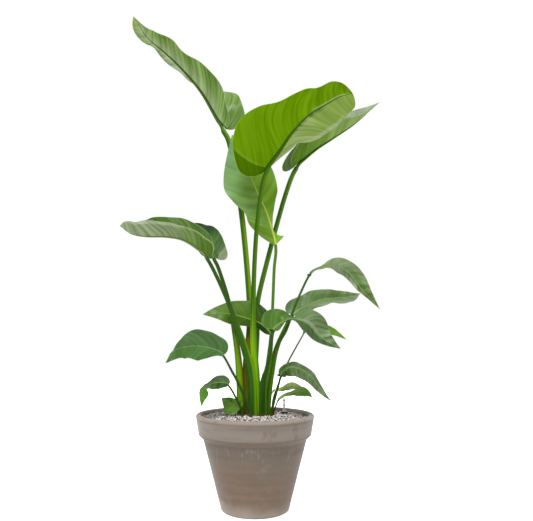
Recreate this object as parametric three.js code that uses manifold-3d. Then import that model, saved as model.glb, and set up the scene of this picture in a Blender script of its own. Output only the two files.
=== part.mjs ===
// A potted bird of paradise: a clay pot filled with mineral granules, seventeen leaves that stand in them,
// and a water level gauge. Millimetres, +Z up, the origin on the ground under the middle of the pot.
// The view that the leaves are named from looks along +Y, with +X to the right.
import * as THREE from "three";
import { mergeVertices } from "three/addons/utils/BufferGeometryUtils.js";
import Module from "manifold-3d";

const wasm = await Module();
wasm.setup();

// ---- Driving dimensions -------------------------------------------------------------------------------

const GAP = 0.3; // between pieces that touch
const BLADE_THICKNESS = 1.1;
const ROOT_DEPTH = 185; // height above the ground at which the stalks end in the granules

const pot = {
  rimRadius: 155,
  height: 238,
  bandBottomRadius: 147,
  bandBottom: 186.5, // height of the rim band's lower edge
  neckRadius: 135,
  neck: 176, // height at which the shoulder under the band meets the body
  footRadius: 88,
  footRound: 4,
  lipRound: 6,
  innerRimRadius: 142,
  innerRound: 4,
  innerFloorRadius: 74,
  floor: 14,
  sides: 48,
};

const fill = {
  edge: 228, // height of the granules at the pot's wall
  crown: 232, // and around the stalks
  crownRadius: 70,
  relief: 2.4, // how far the topmost granules stand up or lie deep
  rings: 16,
  sectors: 48,
  seed: 11,
};

const gauge = {
  x: 80,
  y: 50,
  foot: 106, // the pot's taper leaves no room for it further down
  shaftRadius: 6,
  shaftBore: 4.3,
  collarRadius: 9.4,
  collarBottom: 227,
  collarTop: 233.5,
  domeTop: 274,
  domeRadius: 3.4,
  domeBore: 2.3,
  domeFootRadius: 8,
  domeFootHeight: 5,
  floatRadius: 3.7,
  floatHeight: 46,
  rodRadius: 1.6,
  rodTop: 241,
  sides: 16,
};

const colour = {
  clay: 0x9c9186,
  granules: 0xcfc9c0,
  darkPlastic: 0x2a2622,
  clearPlastic: 0xe8ece8,
  red: 0xb8322a,
  darkStalk: 0x365a1e,
  brightStalk: 0x6f9a1c,
  brownStalk: 0x6c6526,
  brightBlade: 0x679a14,
  paleBlade: 0x7f9c5c,
  midBlade: 0x5a8a3c,
  deepBlade: 0x44703a,
};

// ---- The leaves -----------------------------------------------------------------------------------------
//
// Each leaf is a stalk and a blade. `stalk` holds points of its centre line from the granules up to the
// blade, and `midrib` those of the line that goes on from there to the tip. A half of the blade is told by
// the direction in which it spreads from the midrib and by how wide it is, both as a few values from base to
// tip. Left and right are as seen on the leaf's upper face with its tip up. `lobe` sweeps the base of the
// blade back past the stalk, `point` sweeps the end forwards, `cup` lifts the edges, and `wave` is the height
// and the number of waves along an edge. `stalkWidth` is half the stalk's width, either at the granules and
// at the blade or at every point of its centre line.
const leaves = [
  {
    name: "tall_left",
    colours: ["brownStalk", "paleBlade"],
    stalk: [[-16, 14, 240], [-20, 24, 350], [-15, 36, 459], [-17, 42, 562], [-39, 46, 796], [-72, 52, 991], [-93, 54, 1044]],
    midrib: [[-93, 54, 1044], [-119, 58, 1093], [-165, 62, 1174], [-226, 64, 1249], [-279, 62, 1301], [-326, 52, 1339], [-367, 42, 1402]],
    left: {
      spread: [[0.7, -0.6, -0.2], [0.65, -0.65, 0.05], [0.55, -0.65, 0.1], [0.55, -0.65, 0.1], [0.6, -0.6, 0.2], [0.7, -0.4, 0.5]],
      width: [26, 42, 60, 70, 64, 47, 50, 44, 33, 17, 8],
    },
    right: {
      spread: [[0.95, 0.2, 0.2], [0.38, 0.3, 1.3], [-0.06, 0.8, 0.48], [-0.12, 0.9, 0.06], [-0.3, 0.85, 0.08], [-0.55, 0.5, -0.15]],
      width: [46, 76, 97, 124, 80, 76, 66, 46, 32, 50, 80],
      lobe: -0.8,
    },
    lobe: -0.5,
    point: 0.1,
    cup: 0.08,
    wave: [3, 5],
    blunt: 6,
    stalkWidth: [10, 13, 8.5, 8, 8, 7.7, 7.5],
    big: true,
  },
  {
    name: "front_bright",
    colours: ["brightStalk", "brightBlade"],
    stalk: [[7, -2, 242], [4, -4, 312], [-3, -13, 416], [-4, -16, 555], [3, -32, 708], [16, -48, 820], [32, -62, 878]],
    midrib: [[32, -62, 878], [72, -86, 933], [100, -103, 970], [141, -117, 1010], [184, -122, 1036], [222, -118, 1060], [258, -106, 1075]],
    left: {
      spread: [[0.1, 0.95, 0.2], [0.25, 0.9, 0.2], [0.38, 0.8, -0.05], [0.5, 0.7, -0.25], [0.6, 0.6, -0.35], [0.4, 0.3, -0.5]],
      width: [60, 76, 100, 113, 115, 106, 90, 72, 58, 43, 32],
    },
    right: {
      spread: [[-1, 0.1, -0.1], [-0.87, 0.1, 0.5], [-0.6, 0.35, 0.7], [-0.45, 0.47, 0.7], [-0.2, 0.5, 0.7], [0.1, 0.55, 0.7]],
      width: [0, 73, 142, 130, 110, 100, 94, 90, 87, 87, 88],
      base: 0,
      lobe: -2.5,
      lobeShare: 0.3,
    },
    lobe: -0.8,
    point: 0.5,
    cup: 0.06,
    wave: [3, 4],
    blunt: 14,
    stalkWidth: [11, 10.5, 9, 6.5, 6, 6, 6],
    big: true,
  },
  {
    name: "right_folded",
    colours: ["darkStalk", "paleBlade"],
    stalk: [[0, 24, 239], [1, 30, 350], [6, 38, 450], [7, 40, 532], [36, 44, 658], [86, 60, 842], [122, 73, 936]],
    midrib: [[122, 73, 936], [174, 75, 989], [235, 73, 1030], [301, 67, 1074], [370, 52, 1132]],
    left: {
      spread: [[-0.8, 0.3, -0.5], [-0.2, 0.35, 0.9], [-0.1, 0.2, 0.95], [-0.1, 0.15, 0.95]],
      width: [58, 62, 66, 62, 50, 30],
      base: 0.2,
      lobe: -1.8,
      lobeShare: 0.25,
    },
    right: {
      spread: [[-0.5, -0.8, 0.1], [-0.2, -0.88, 0.28], [-0.15, -0.88, 0.3], [-0.1, -0.8, 0.4]],
      width: [36, 70, 64, 54, 24, 10],
    },
    lobe: -0.8,
    point: 0.1,
    cup: 0.08,
    wave: [2, 4],
    stalkWidth: [7, 6.8],
    big: true,
  },
  {
    name: "centre_upright",
    colours: ["brightStalk", "midBlade"],
    stalk: [[15, 32, 239], [30, 32, 337], [44, 30, 445], [49, 28, 527], [53, 20, 623], [57, 12, 692]],
    midrib: [[57, 12, 692], [34, 14, 781], [8, 20, 842], [-26, 26, 929], [-67, 32, 1022]],
    left: {
      spread: [[-0.9, -0.1, -0.1], [-0.9, 0, -0.3], [-0.9, 0.1, -0.3]],
      width: [20, 38, 57, 58, 60, 73, 84, 81, 74, 67, 60],
    },
    right: {
      spread: [[0.9, 0.2, 0.3], [0.7, 0.5, 0.5], [0.7, 0.5, 0.5]],
      width: [36, 5, 11, 30, 50, 70, 84, 87, 86, 82, 76],
      base: 0.03,
      lobe: 0.7,
    },
    lobe: -0.3,
    point: 0.1,
    cup: 0,
    wave: [2.5, 4],
    stalkWidth: [4, 4.2],
    big: true,
  },
  {
    name: "left_front",
    colours: ["darkStalk", "paleBlade"],
    stalk: [[-6, -14, 243], [-9, -16, 327], [-23, -22, 394], [-62, -36, 506], [-97, -46, 587], [-127, -56, 643]],
    midrib: [[-127, -56, 643], [-154, -66, 668], [-190, -78, 687], [-232, -88, 692], [-279, -96, 691], [-318, -98, 698], [-348, -92, 720]],
    left: {
      spread: [[0.2, -0.7, 0.7], [0.1, -0.8, 0.6], [0, -0.8, 0.6], [0, -0.6, 0.8]],
      width: [40, 43, 44, 43, 42, 46, 50, 46, 38, 37, 36],
    },
    right: {
      spread: [[0.2, 0.4, 0.8], [0, 0.25, 0.95], [0, 0.2, 0.95], [0, 0.4, 0.8]],
      width: [40, 52, 59, 59, 57, 55, 52, 44, 34, 26, 20],
    },
    lobe: -0.4,
    point: 0.1,
    cup: 0.08,
    wave: [2, 5],
    blunt: 6,
    stalkWidth: [11, 10.5, 10.5, 6.2, 5, 4.8],
  },
  {
    name: "left_back",
    colours: ["darkStalk", "deepBlade"],
    stalk: [[-38, 8, 241], [-40, 10, 311], [-48, 18, 404], [-72, 30, 533], [-101, 38, 626], [-116, 42, 658]],
    midrib: [[-116, 42, 658], [-135, 62, 703], [-167, 92, 743], [-213, 122, 768], [-259, 147, 781]],
    left: {
      spread: [[-0.8, -0.3, 0.2], [-0.7, -0.4, 0.2], [-0.5, -0.5, 0.3]],
      width: [30, 45, 50, 45, 35, 20],
    },
    right: {
      spread: [[0.9, 0.2, 0.3], [0.8, 0.4, 0.4], [0.6, 0.6, 0.4]],
      width: [42, 46, 55, 52, 40, 30],
      lobe: -1.1,
    },
    lobe: -0.4,
    point: 0.1,
    cup: 0,
    wave: [1.5, 4],
    stalkWidth: [9, 8.8, 7.6, 5.4, 5.3, 5.2],
  },
  {
    name: "right_arching",
    colours: ["darkStalk", "paleBlade"],
    stalk: [[34, 0, 242], [44, 0, 325], [60, -2, 410], [84, -2, 457], [102, -2, 505], [123, 0, 555], [152, 4, 610]],
    midrib: [[152, 4, 610], [183, 2, 627], [217, -2, 634], [254, -8, 612], [284, -14, 569], [310, -18, 538], [334, -20, 510]],
    left: {
      spread: [[-0.1, 0.8, -0.6], [-0.2, 0.75, -0.6], [-0.4, 0.7, -0.5], [-0.7, 0.6, -0.4], [-0.7, 0.6, -0.4], [-0.6, 0.4, -0.5]],
      width: [10, 5, 8, 16, 24, 19, 14, 11, 8, 7, 6],
      base: 0.02,
    },
    right: {
      spread: [[0.1, -0.5, 0.8], [0.1, -0.5, 0.8], [0.3, -0.5, 0.7], [0.7, -0.4, 0.5], [0.8, -0.3, 0.45], [0.8, -0.3, 0.4]],
      width: [4, 7, 26, 28, 18, 11],
    },
    lobe: 0,
    point: 0.1,
    cup: 0.08,
    wave: [1, 3],
    stalkWidth: [7, 3],
  },
  {
    name: "right_level",
    colours: ["darkStalk", "midBlade"],
    stalk: [[32, 17, 240], [42, 19, 324], [55, 22, 396], [80, 28, 458], [104, 34, 498]],
    midrib: [[104, 34, 498], [147, 42, 526], [188, 50, 543], [233, 58, 549], [269, 64, 553], [301, 68, 562]],
    left: {
      spread: [[-0.3, 0.4, 0.9], [-0.2, 0.5, 0.8], [0, 0.5, 0.8], [0.1, 0.5, 0.8]],
      width: [40, 37, 36, 26, 22, 18],
      lobe: -0.8,
    },
    right: {
      spread: [[0.4, -0.6, -0.6], [0.2, -0.8, -0.4], [0.1, -0.8, -0.4], [0, -0.8, -0.4]],
      width: [20, 36, 48, 52, 48, 30],
    },
    lobe: -0.4,
    point: 0.1,
    cup: 0.08,
    wave: [1.5, 4],
    stalkWidth: [7, 8, 7.2, 5, 4.5],
  },
  {
    name: "right_twisted",
    colours: ["darkStalk", "deepBlade"],
    stalk: [[21, -14, 243], [23, -17, 318], [31, -21, 352], [41, -26, 400], [44, -30, 434], [50, -36, 457]],
    midrib: [[50, -36, 457], [70, -44, 474], [93, -52, 482], [124, -60, 481], [146, -68, 469], [167, -76, 438], [189, -84, 420], [213, -92, 407]],
    left: {
      spread: [[-0.8, 0.2, 0.6], [-0.5, 0.3, 0.85], [0, 1, 0.1], [0.1, 0.5, 0.8], [0.3, 0.3, 0.8], [0.6, 0.3, 0.7], [0.7, 0.2, 0.6], [0.7, 0.2, 0.5]],
      width: [50, 48, 36, 32, 34, 34, 35, 31, 27, 25, 24],
      lobe: -0.9,
    },
    right: {
      spread: [[0.5, -0.5, -0.6], [0.2, -0.8, -0.6], [0, -1, -0.1], [-0.1, -0.7, -0.6], [-0.3, -0.6, -0.8], [-0.5, -0.5, -0.7], [-0.5, -0.5, -0.7], [-0.4, -0.4, -0.7]],
      width: [20, 18, 32, 36, 20, 14],
    },
    lobe: -0.4,
    point: 0.1,
    cup: 0.08,
    wave: [1, 4],
    stalkWidth: [11, 9.5, 6.5, 5, 4.5, 4.5],
  },
  {
    name: "right_hidden",
    colours: ["darkStalk", "midBlade"],
    stalk: [[45, 18, 240], [52, 20, 284], [87, 24, 365], [130, 36, 440], [140, 40, 455]],
    midrib: [[140, 40, 455], [175, 44, 467], [213, 46, 456], [254, 46, 432]],
    left: {
      spread: [[0.2, 0.3, 0.9], [0.3, 0.3, 0.8], [0.4, 0.3, 0.8]],
      width: [6, 14, 13, 11, 9, 8],
    },
    right: {
      spread: [[-0.2, -0.6, -0.6], [-0.3, -0.6, -0.6], [-0.4, -0.4, -0.6]],
      width: [6, 16, 20, 18, 12, 9],
    },
    lobe: 0,
    point: 0.1,
    cup: 0.08,
    wave: [0.5, 3],
    stalkWidth: [2.5, 1.8],
  },
  {
    name: "centre_left",
    colours: ["darkStalk", "midBlade"],
    stalk: [[19, 14, 240], [27, 14, 324], [38, 12, 404], [42, 8, 445]],
    midrib: [[42, 8, 445], [19, 6, 472], [-11, 6, 485], [-54, 4, 497], [-97, 4, 502], [-142, 6, 499]],
    left: {
      spread: [[-0.6, 0.1, -0.6], [-0.2, 0.1, -0.9], [0, -0.3, -0.9], [0, -0.4, -0.8]],
      width: [14, 16, 20, 28, 25, 20],
    },
    right: {
      spread: [[0.6, 0.3, 0.7], [0.3, 0.3, 0.9], [0, 0.35, 0.9], [0, 0.4, 0.8]],
      width: [24, 38, 54, 44, 32, 26],
    },
    lobe: -0.4,
    point: 0.1,
    cup: 0,
    wave: [1, 4],
    stalkWidth: [5, 3.5],
  },
  {
    name: "lower_left",
    colours: ["darkStalk", "deepBlade"],
    stalk: [[-12, -30, 245], [-33, -38, 298], [-59, -48, 349], [-82, -60, 390]],
    midrib: [[-82, -60, 390], [-104, -68, 405], [-147, -82, 413], [-179, -94, 410], [-200, -102, 400], [-219, -108, 372]],
    left: {
      spread: [[0, -0.7, -0.7], [0.1, -0.7, -0.7], [0.1, -0.7, -0.7], [0.5, -0.5, -0.6]],
      width: [14, 24, 50, 37, 44, 34],
    },
    right: {
      spread: [[0.8, 0.2, 0.6], [0.2, 0.5, 0.8], [-0.1, 0.6, 0.8], [-0.5, 0.8, 0.3], [-0.6, 0.8, 0.3]],
      width: [24, 34, 41, 48, 51, 40, 27, 20, 13, 10, 8],
    },
    lobe: -0.4,
    point: 0.1,
    cup: 0,
    wave: [1.5, 3],
    stalkWidth: [6, 2.8],
  },
  {
    name: "small_left",
    colours: ["darkStalk", "deepBlade"],
    stalk: [[-32, -28, 245], [-50, -36, 283], [-69, -46, 314]],
    midrib: [[-69, -46, 314], [-92, -54, 321], [-114, -62, 316], [-131, -70, 307], [-135, -74, 288], [-133, -74, 264]],
    left: {
      spread: [[0.1, -0.7, -0.6], [0, -0.7, -0.6], [-0.1, -0.8, -0.3], [0.9, -0.3, 0], [0.9, -0.3, 0]],
      width: [12, 20, 26, 24, 22, 14],
    },
    right: {
      spread: [[0.3, 0.6, 0.7], [0.1, 0.6, 0.7], [-0.3, 0.8, 0.4], [-0.8, 0.5, 0.1], [-0.8, 0.4, 0.1]],
      width: [22, 20, 11, 8, 6, 6],
    },
    lobe: -0.4,
    point: 0.1,
    cup: 0,
    wave: [0, 3],
    stalkWidth: [3.5, 2.4],
  },
  {
    name: "lower_right",
    colours: ["darkStalk", "deepBlade"],
    stalk: [[43, -12, 243], [51, -14, 274], [60, -18, 307], [68, -24, 336]],
    midrib: [[68, -24, 336], [77, -30, 351], [96, -40, 358], [120, -54, 351], [141, -68, 336], [157, -78, 314], [171, -84, 296], [188, -88, 278]],
    left: {
      spread: [[-0.5, 0.5, 0.8], [0, 0.6, 0.75], [0.3, 0.6, 0.7], [0.8, 0.4, 0.4], [0.8, 0.3, 0.4]],
      width: [10, 16, 16, 12, 9, 7],
    },
    right: {
      spread: [[0.3, -0.6, -0.7], [0, -0.8, -0.6], [-0.3, -0.8, -0.5], [-0.6, -0.7, -0.4], [-0.7, -0.5, -0.4]],
      width: [14, 29, 40, 28, 16, 12],
    },
    lobe: -0.4,
    point: 0.1,
    cup: 0.08,
    wave: [1, 4],
    stalkWidth: [4, 2.8],
  },
  {
    name: "small_right_upper",
    colours: ["darkStalk", "midBlade"],
    stalk: [[40, 8, 241], [41, 8, 272], [48, 8, 293]],
    midrib: [[48, 8, 293], [72, 6, 298], [98, 2, 305], [129, -4, 303]],
    left: {
      spread: [[0, 0.4, 0.8], [0, 0.4, 0.8], [0.2, 0.4, 0.8]],
      width: [4, 6, 9, 14, 14, 12],
    },
    right: {
      spread: [[0, -0.8, -0.4], [0, -0.8, -0.4], [0, -0.8, -0.4]],
      width: [3, 6, 10, 13, 9, 6],
    },
    lobe: 0,
    point: 0.1,
    cup: 0.08,
    wave: [0, 3],
    stalkWidth: [1.8, 1.5],
  },
  {
    name: "small_right_lower",
    colours: ["darkStalk", "deepBlade"],
    stalk: [[49, -2, 242], [54, -3, 255], [60, -6, 269]],
    midrib: [[60, -6, 269], [76, -10, 283], [97, -16, 289], [119, -24, 293], [135, -28, 290], [148, -32, 282]],
    left: {
      spread: [[0, 0.4, 0.8], [0, 0.4, 0.8], [0.2, 0.4, 0.8]],
      width: [4, 6, 8, 16, 14, 10],
    },
    right: {
      spread: [[0, -0.8, -0.4], [0, -0.8, -0.4], [0, -0.8, -0.4]],
      width: [3, 6, 8, 18, 20, 16],
    },
    lobe: 0,
    point: 0.1,
    cup: 0.08,
    wave: [0, 3],
    stalkWidth: [2, 1.7],
  },
  {
    name: "ground_left",
    colours: ["darkStalk", "midBlade"],
    stalk: [[-36, -8, 232], [-38, -9, 241], [-43, -10, 247]],
    midrib: [[-43, -10, 247], [-57, -14, 261], [-70, -18, 272], [-88, -20, 279]],
    left: {
      spread: [[-0.7, -0.3, -0.7], [-0.6, -0.3, -0.7], [-0.5, -0.3, -0.7]],
      width: [16, 24, 30, 28, 24, 16],
    },
    right: {
      spread: [[0.6, 0.3, 0.8], [0.5, 0.4, 0.8], [0.3, 0.4, 0.8]],
      width: [24, 20, 17, 12, 8, 6],
    },
    lobe: 0,
    point: 0,
    cup: 0,
    wave: [0, 3],
    stalkWidth: [3, 2.6],
  },
];

// ---- Small helpers --------------------------------------------------------------------------------------

const vec = ([x, y, z]) => new THREE.Vector3(x, y, z);
const lerp = THREE.MathUtils.lerp;

// The curve through a list of points, told by how far along the list a place lies, from 0 to 1.
function through(points) {
  const curve = new THREE.CatmullRomCurve3(points.map(vec), false, "catmullrom", 0.5);
  return (t) => curve.getPoint(THREE.MathUtils.clamp(t, 0, 1));
}

// The same for a list of plain numbers.
function along(values) {
  const curve = through(values.map((v) => [v, 0, 0]));
  return (t) => curve(t).x;
}

function closedGeometry(points, triangles) {
  const geometry = new THREE.BufferGeometry();
  geometry.setAttribute("position", new THREE.Float32BufferAttribute(points.flatMap((p) => [p.x, p.y, p.z]), 3));
  geometry.setIndex(triangles.flat());
  return geometry;
}

function named(name, geometry, shade, roughness = 0.6) {
  const material = new THREE.MeshStandardMaterial({ color: colour[shade], roughness, metalness: 0 });
  const mesh = new THREE.Mesh(geometry, material);
  mesh.name = name;
  return mesh;
}

// ---- Solids for cutting and joining -----------------------------------------------------------------------

function solid(geometry) {
  const bare = geometry.clone();
  bare.deleteAttribute("normal");
  bare.deleteAttribute("uv");
  const merged = mergeVertices(bare, 1e-3);
  const index = Array.from(merged.index.array);
  const kept = [];
  for (let i = 0; i < index.length; i += 3) {
    const [a, b, c] = index.slice(i, i + 3);
    if (a !== b && b !== c && a !== c) kept.push(a, b, c);
  }
  const vertProperties = merged.attributes.position.array;
  return new wasm.Manifold(new wasm.Mesh({ numProp: 3, vertProperties, triVerts: new Uint32Array(kept) }));
}

function geometryOf(manifold) {
  const { vertProperties, triVerts } = manifold.getMesh();
  const geometry = new THREE.BufferGeometry();
  geometry.setAttribute("position", new THREE.BufferAttribute(vertProperties, 3));
  geometry.setIndex(new THREE.BufferAttribute(triVerts, 1));
  return geometry;
}

// ---- Round pieces -----------------------------------------------------------------------------------------

// A closed profile of [radius, height] pairs turned about the vertical axis.
function turned(profile, sides) {
  const points = profile.map(([r, z]) => new THREE.Vector2(r, z));
  return new THREE.LatheGeometry(points, sides).rotateX(Math.PI / 2);
}

// Points of a quarter circle about (r, z), from one angle to another, in degrees.
function arc(r, z, radius, from, to, steps) {
  return Array.from({ length: steps + 1 }, (_, i) => {
    const angle = THREE.MathUtils.degToRad(lerp(from, to, i / steps));
    return [r + radius * Math.cos(angle), z + radius * Math.sin(angle)];
  });
}

function innerRadiusAt(z) {
  const share = (z - pot.floor) / (pot.height - pot.innerRound - pot.floor);
  return lerp(pot.innerFloorRadius, pot.innerRimRadius, share);
}

function potGeometry() {
  const lipCentre = pot.rimRadius - pot.lipRound;
  const lipHeight = pot.height - pot.lipRound;
  return turned(
    [
      [0, 0],
      [pot.footRadius - pot.footRound, 0],
      ...arc(pot.footRadius - pot.footRound, pot.footRound, pot.footRound, -60, 0, 2),
      [pot.neckRadius, pot.neck],
      [pot.bandBottomRadius - 1, pot.bandBottom - 1],
      [pot.bandBottomRadius, pot.bandBottom + 1],
      ...arc(lipCentre, lipHeight, pot.lipRound, 0, 90, 4),
      ...arc(pot.innerRimRadius + pot.innerRound, pot.height - pot.innerRound, pot.innerRound, 90, 180, 3),
      [innerRadiusAt(pot.floor + 8), pot.floor + 8],
      [pot.innerFloorRadius - 8, pot.floor],
      [0, pot.floor],
    ],
    pot.sides,
  );
}

// ---- Leaves -------------------------------------------------------------------------------------------------

const BASE_SHARE = 0.12; // of the blade's length, over which its base widens
const TAPER_FROM = 0.6; // share of the length from which the blade narrows to its tip
const LOBE_SHARE = 0.2;
const RIB_END = 0.86; // share of the blade's length that the midrib reaches
const RIB_TIP_RADIUS = 0.8;
const RIB_SHARE = 0.7; // of the offset between midrib and blade, taken up by the midrib

function outline(s, blunt = 2, base = BASE_SHARE) {
  if (s < base) return Math.pow(1 - Math.pow(1 - s / base, 2), 0.7);
  if (s > TAPER_FROM) return 1 - Math.pow((s - TAPER_FROM) / (1 - TAPER_FROM), blunt);
  return 1;
}

// What the stalk and the blade of one leaf share: its whole centre line, and the frame at a share s of the
// blade's length.
function leafForm(leaf) {
  const points = [...leaf.stalk, ...leaf.midrib.slice(1)];
  const centre = through(points);
  const stalkShare = (leaf.stalk.length - 1) / (points.length - 1);
  const bladeAt = (s) => lerp(stalkShare, 1, s);
  const tangent = (t) => centre(t + 0.004).sub(centre(t - 0.004)).normalize();
  const ribRadius = (s) => lerp(leaf.stalkWidth.at(-1), RIB_TIP_RADIUS, Math.pow(Math.min(1, s / RIB_END), 0.35));
  const halves = ["left", "right"].map((side) => ({
    side,
    lobe: leaf[side].lobe ?? leaf.lobe,
    lobeShare: leaf[side].lobeShare ?? LOBE_SHARE,
    spread: through(leaf[side].spread),
    width: along(leaf[side].width),
    widest: Math.max(...leaf[side].width),
  }));

  function frame(s) {
    const t = tangent(bladeAt(s));
    const [left, right] = halves.map((half, i) => {
      const out = half.spread(s);
      out.addScaledVector(t, -out.dot(t)).normalize();
      const up = i === 0 ? t.clone().cross(out) : out.clone().cross(t);
      const share = outline(s, leaf.blunt, leaf[half.side].base);
      return { out, up, width: Math.max(0, half.width(s)) * share, share, lobe: half.lobe, lobeShare: half.lobeShare };
    });
    const up = left.up.clone().add(right.up).normalize();
    const lean = Math.max(0.45, up.dot(left.up));
    const half = BLADE_THICKNESS / 2;
    // Halves that droop past the midrib need more room than halves that fold up from it.
    const rise = left.out.dot(up) < 0 ? (ribRadius(s) + GAP + half) / lean : ribRadius(s) + GAP + half / lean;
    const rib = centre(bladeAt(s)).addScaledVector(up, -rise * RIB_SHARE * THREE.MathUtils.smoothstep(s, 0, 0.15));
    return { t, left, right, up, lean, rib, middle: rib.clone().addScaledVector(up, rise) };
  }
  return { centre, tangent, stalkShare, bladeAt, ribRadius, frame };
}

const rowsOf = (leaf) => (leaf.big ? 15 : 12);
const rowShare = (leaf, row) => lerp(row / rowsOf(leaf), THREE.MathUtils.smoothstep(row, 0, rowsOf(leaf)), 0.3);

// The blade: rows across it from base to tip, each with a point above and one below the sheet.
function bladeGeometry(leaf) {
  const form = leafForm(leaf);
  const rows = rowsOf(leaf);
  const perHalf = leaf.big ? 4 : 3;
  const columns = 2 * perHalf + 1;
  const [waveHeight, waves] = leaf.wave;
  const above = [];
  const below = [];
  for (let row = 0; row <= rows; row++) {
    const s = rowShare(leaf, row);
    const f = form.frame(s);
    for (let column = 0; column < columns; column++) {
      const r = Math.abs(column - perHalf) / perHalf;
      const half = column < perHalf ? f.left : f.right;
      const sweep = half.lobe * Math.pow(Math.max(0, 1 - s / half.lobeShare), 2) + leaf.point * s * s;
      const ripple = waveHeight * Math.sin(2 * Math.PI * (waves * s + (column < perHalf ? 0 : 0.4)));
      const lift = half.width * leaf.cup * r * r + ripple * r * r * half.share;
      const place = f.middle.clone();
      const normal = f.up.clone();
      let thick = BLADE_THICKNESS / 2 / f.lean;
      if (r > 0 && half.width > 1e-6) {
        place
          .addScaledVector(half.out, half.width * r)
          .addScaledVector(f.t, half.width * r * sweep)
          .addScaledVector(half.up, lift);
        normal.copy(half.up).addScaledVector(half.out, -2 * leaf.cup * r).normalize();
        thick = BLADE_THICKNESS / 2;
      }
      above.push(place.clone().addScaledVector(normal, thick));
      below.push(place.clone().addScaledVector(normal, -thick));
    }
  }
  const lower = above.length;
  const triangles = [];
  const quad = (a, b, c, d) => triangles.push([a, b, c], [a, c, d]);
  for (let row = 0; row < rows; row++) {
    for (let column = 0; column < columns - 1; column++) {
      const a = row * columns + column;
      const b = a + 1;
      const [c, d] = [b + columns, a + columns];
      quad(a, b, c, d);
      quad(lower + a, lower + d, lower + c, lower + b);
      // The same diagonal on both faces, so that a curved quad keeps its thickness.
      triangles.splice(-2, 2, [lower + a, lower + c, lower + b], [lower + a, lower + d, lower + c]);
    }
    const first = row * columns;
    const last = first + columns - 1;
    quad(first, first + columns, lower + first + columns, lower + first);
    quad(last, lower + last, lower + last + columns, last + columns);
  }
  return geometryOf(solid(closedGeometry([...above, ...below], triangles)));
}

// The stalk, a flattened sheath at the granules and round at the blade, which goes on as the midrib that the
// blade lies on. `grow` makes the slightly wider solid that cuts its hole.
function stalkGeometry(leaf, grow = 0) {
  const form = leafForm(leaf);
  const sides = leaf.stalkWidth[0] > 5 ? 8 : 6;
  const stalkSteps = leaf.stalk.length > 3 ? 8 : 4;
  const sections = [];
  const foot = form.centre(0);
  const addSection = (middle, t, halfWidth, halfDepth) => {
    const across = new THREE.Vector3(0, 1, 0).cross(t).normalize();
    const deep = t.clone().cross(across).normalize();
    sections.push(
      Array.from({ length: sides }, (_, i) => {
        const angle = (2 * Math.PI * (i + 0.5)) / sides;
        return middle
          .clone()
          .addScaledVector(across, (halfWidth + grow) * Math.cos(angle))
          .addScaledVector(deep, (halfDepth + grow) * Math.sin(angle));
      }),
    );
  };
  const footWidth = leaf.stalkWidth[0];
  const neckWidth = leaf.stalkWidth.at(-1);
  const footDepth = Math.min(footWidth, 3 + footWidth * 0.2);
  const told = leaf.stalkWidth.length > 2 ? along(leaf.stalkWidth) : null;
  addSection(new THREE.Vector3(foot.x, foot.y, ROOT_DEPTH - grow), new THREE.Vector3(0, 0, 1), footWidth, footDepth);
  for (let i = 0; i <= stalkSteps; i++) {
    const t = (i / stalkSteps) * form.stalkShare;
    const share = Math.min(1, Math.sqrt(i / stalkSteps) * 1.1);
    const width = told ? told(i / stalkSteps) : lerp(footWidth, neckWidth, share);
    addSection(form.centre(t), form.tangent(t), width, Math.min(width, lerp(footDepth, neckWidth, share)));
  }
  for (let row = 1; rowShare(leaf, row) < RIB_END; row++) {
    const s = rowShare(leaf, row);
    const radius = form.ribRadius(s);
    const { rib, t } = form.frame(s);
    addSection(rib, t, radius, radius);
  }
  const points = sections.flat();
  const triangles = [];
  for (let k = 0; k < sections.length - 1; k++) {
    for (let i = 0; i < sides; i++) {
      const a = k * sides + i;
      const b = k * sides + ((i + 1) % sides);
      triangles.push([a, b, b + sides], [a, b + sides, a + sides]);
    }
  }
  const top = (sections.length - 1) * sides;
  for (let i = 1; i < sides - 1; i++) triangles.push([0, i + 1, i], [top, top + i, top + i + 1]);
  return closedGeometry(points, triangles);
}

// ---- The granules ---------------------------------------------------------------------------------------------

// A draw between -1 and 1 that is the same each time for the same place.
function draw(ring, sector) {
  const value = Math.sin(fill.seed + ring * 127.1 + sector * 311.7) * 43758.5453;
  return 2 * (value - Math.floor(value)) - 1;
}

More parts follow.
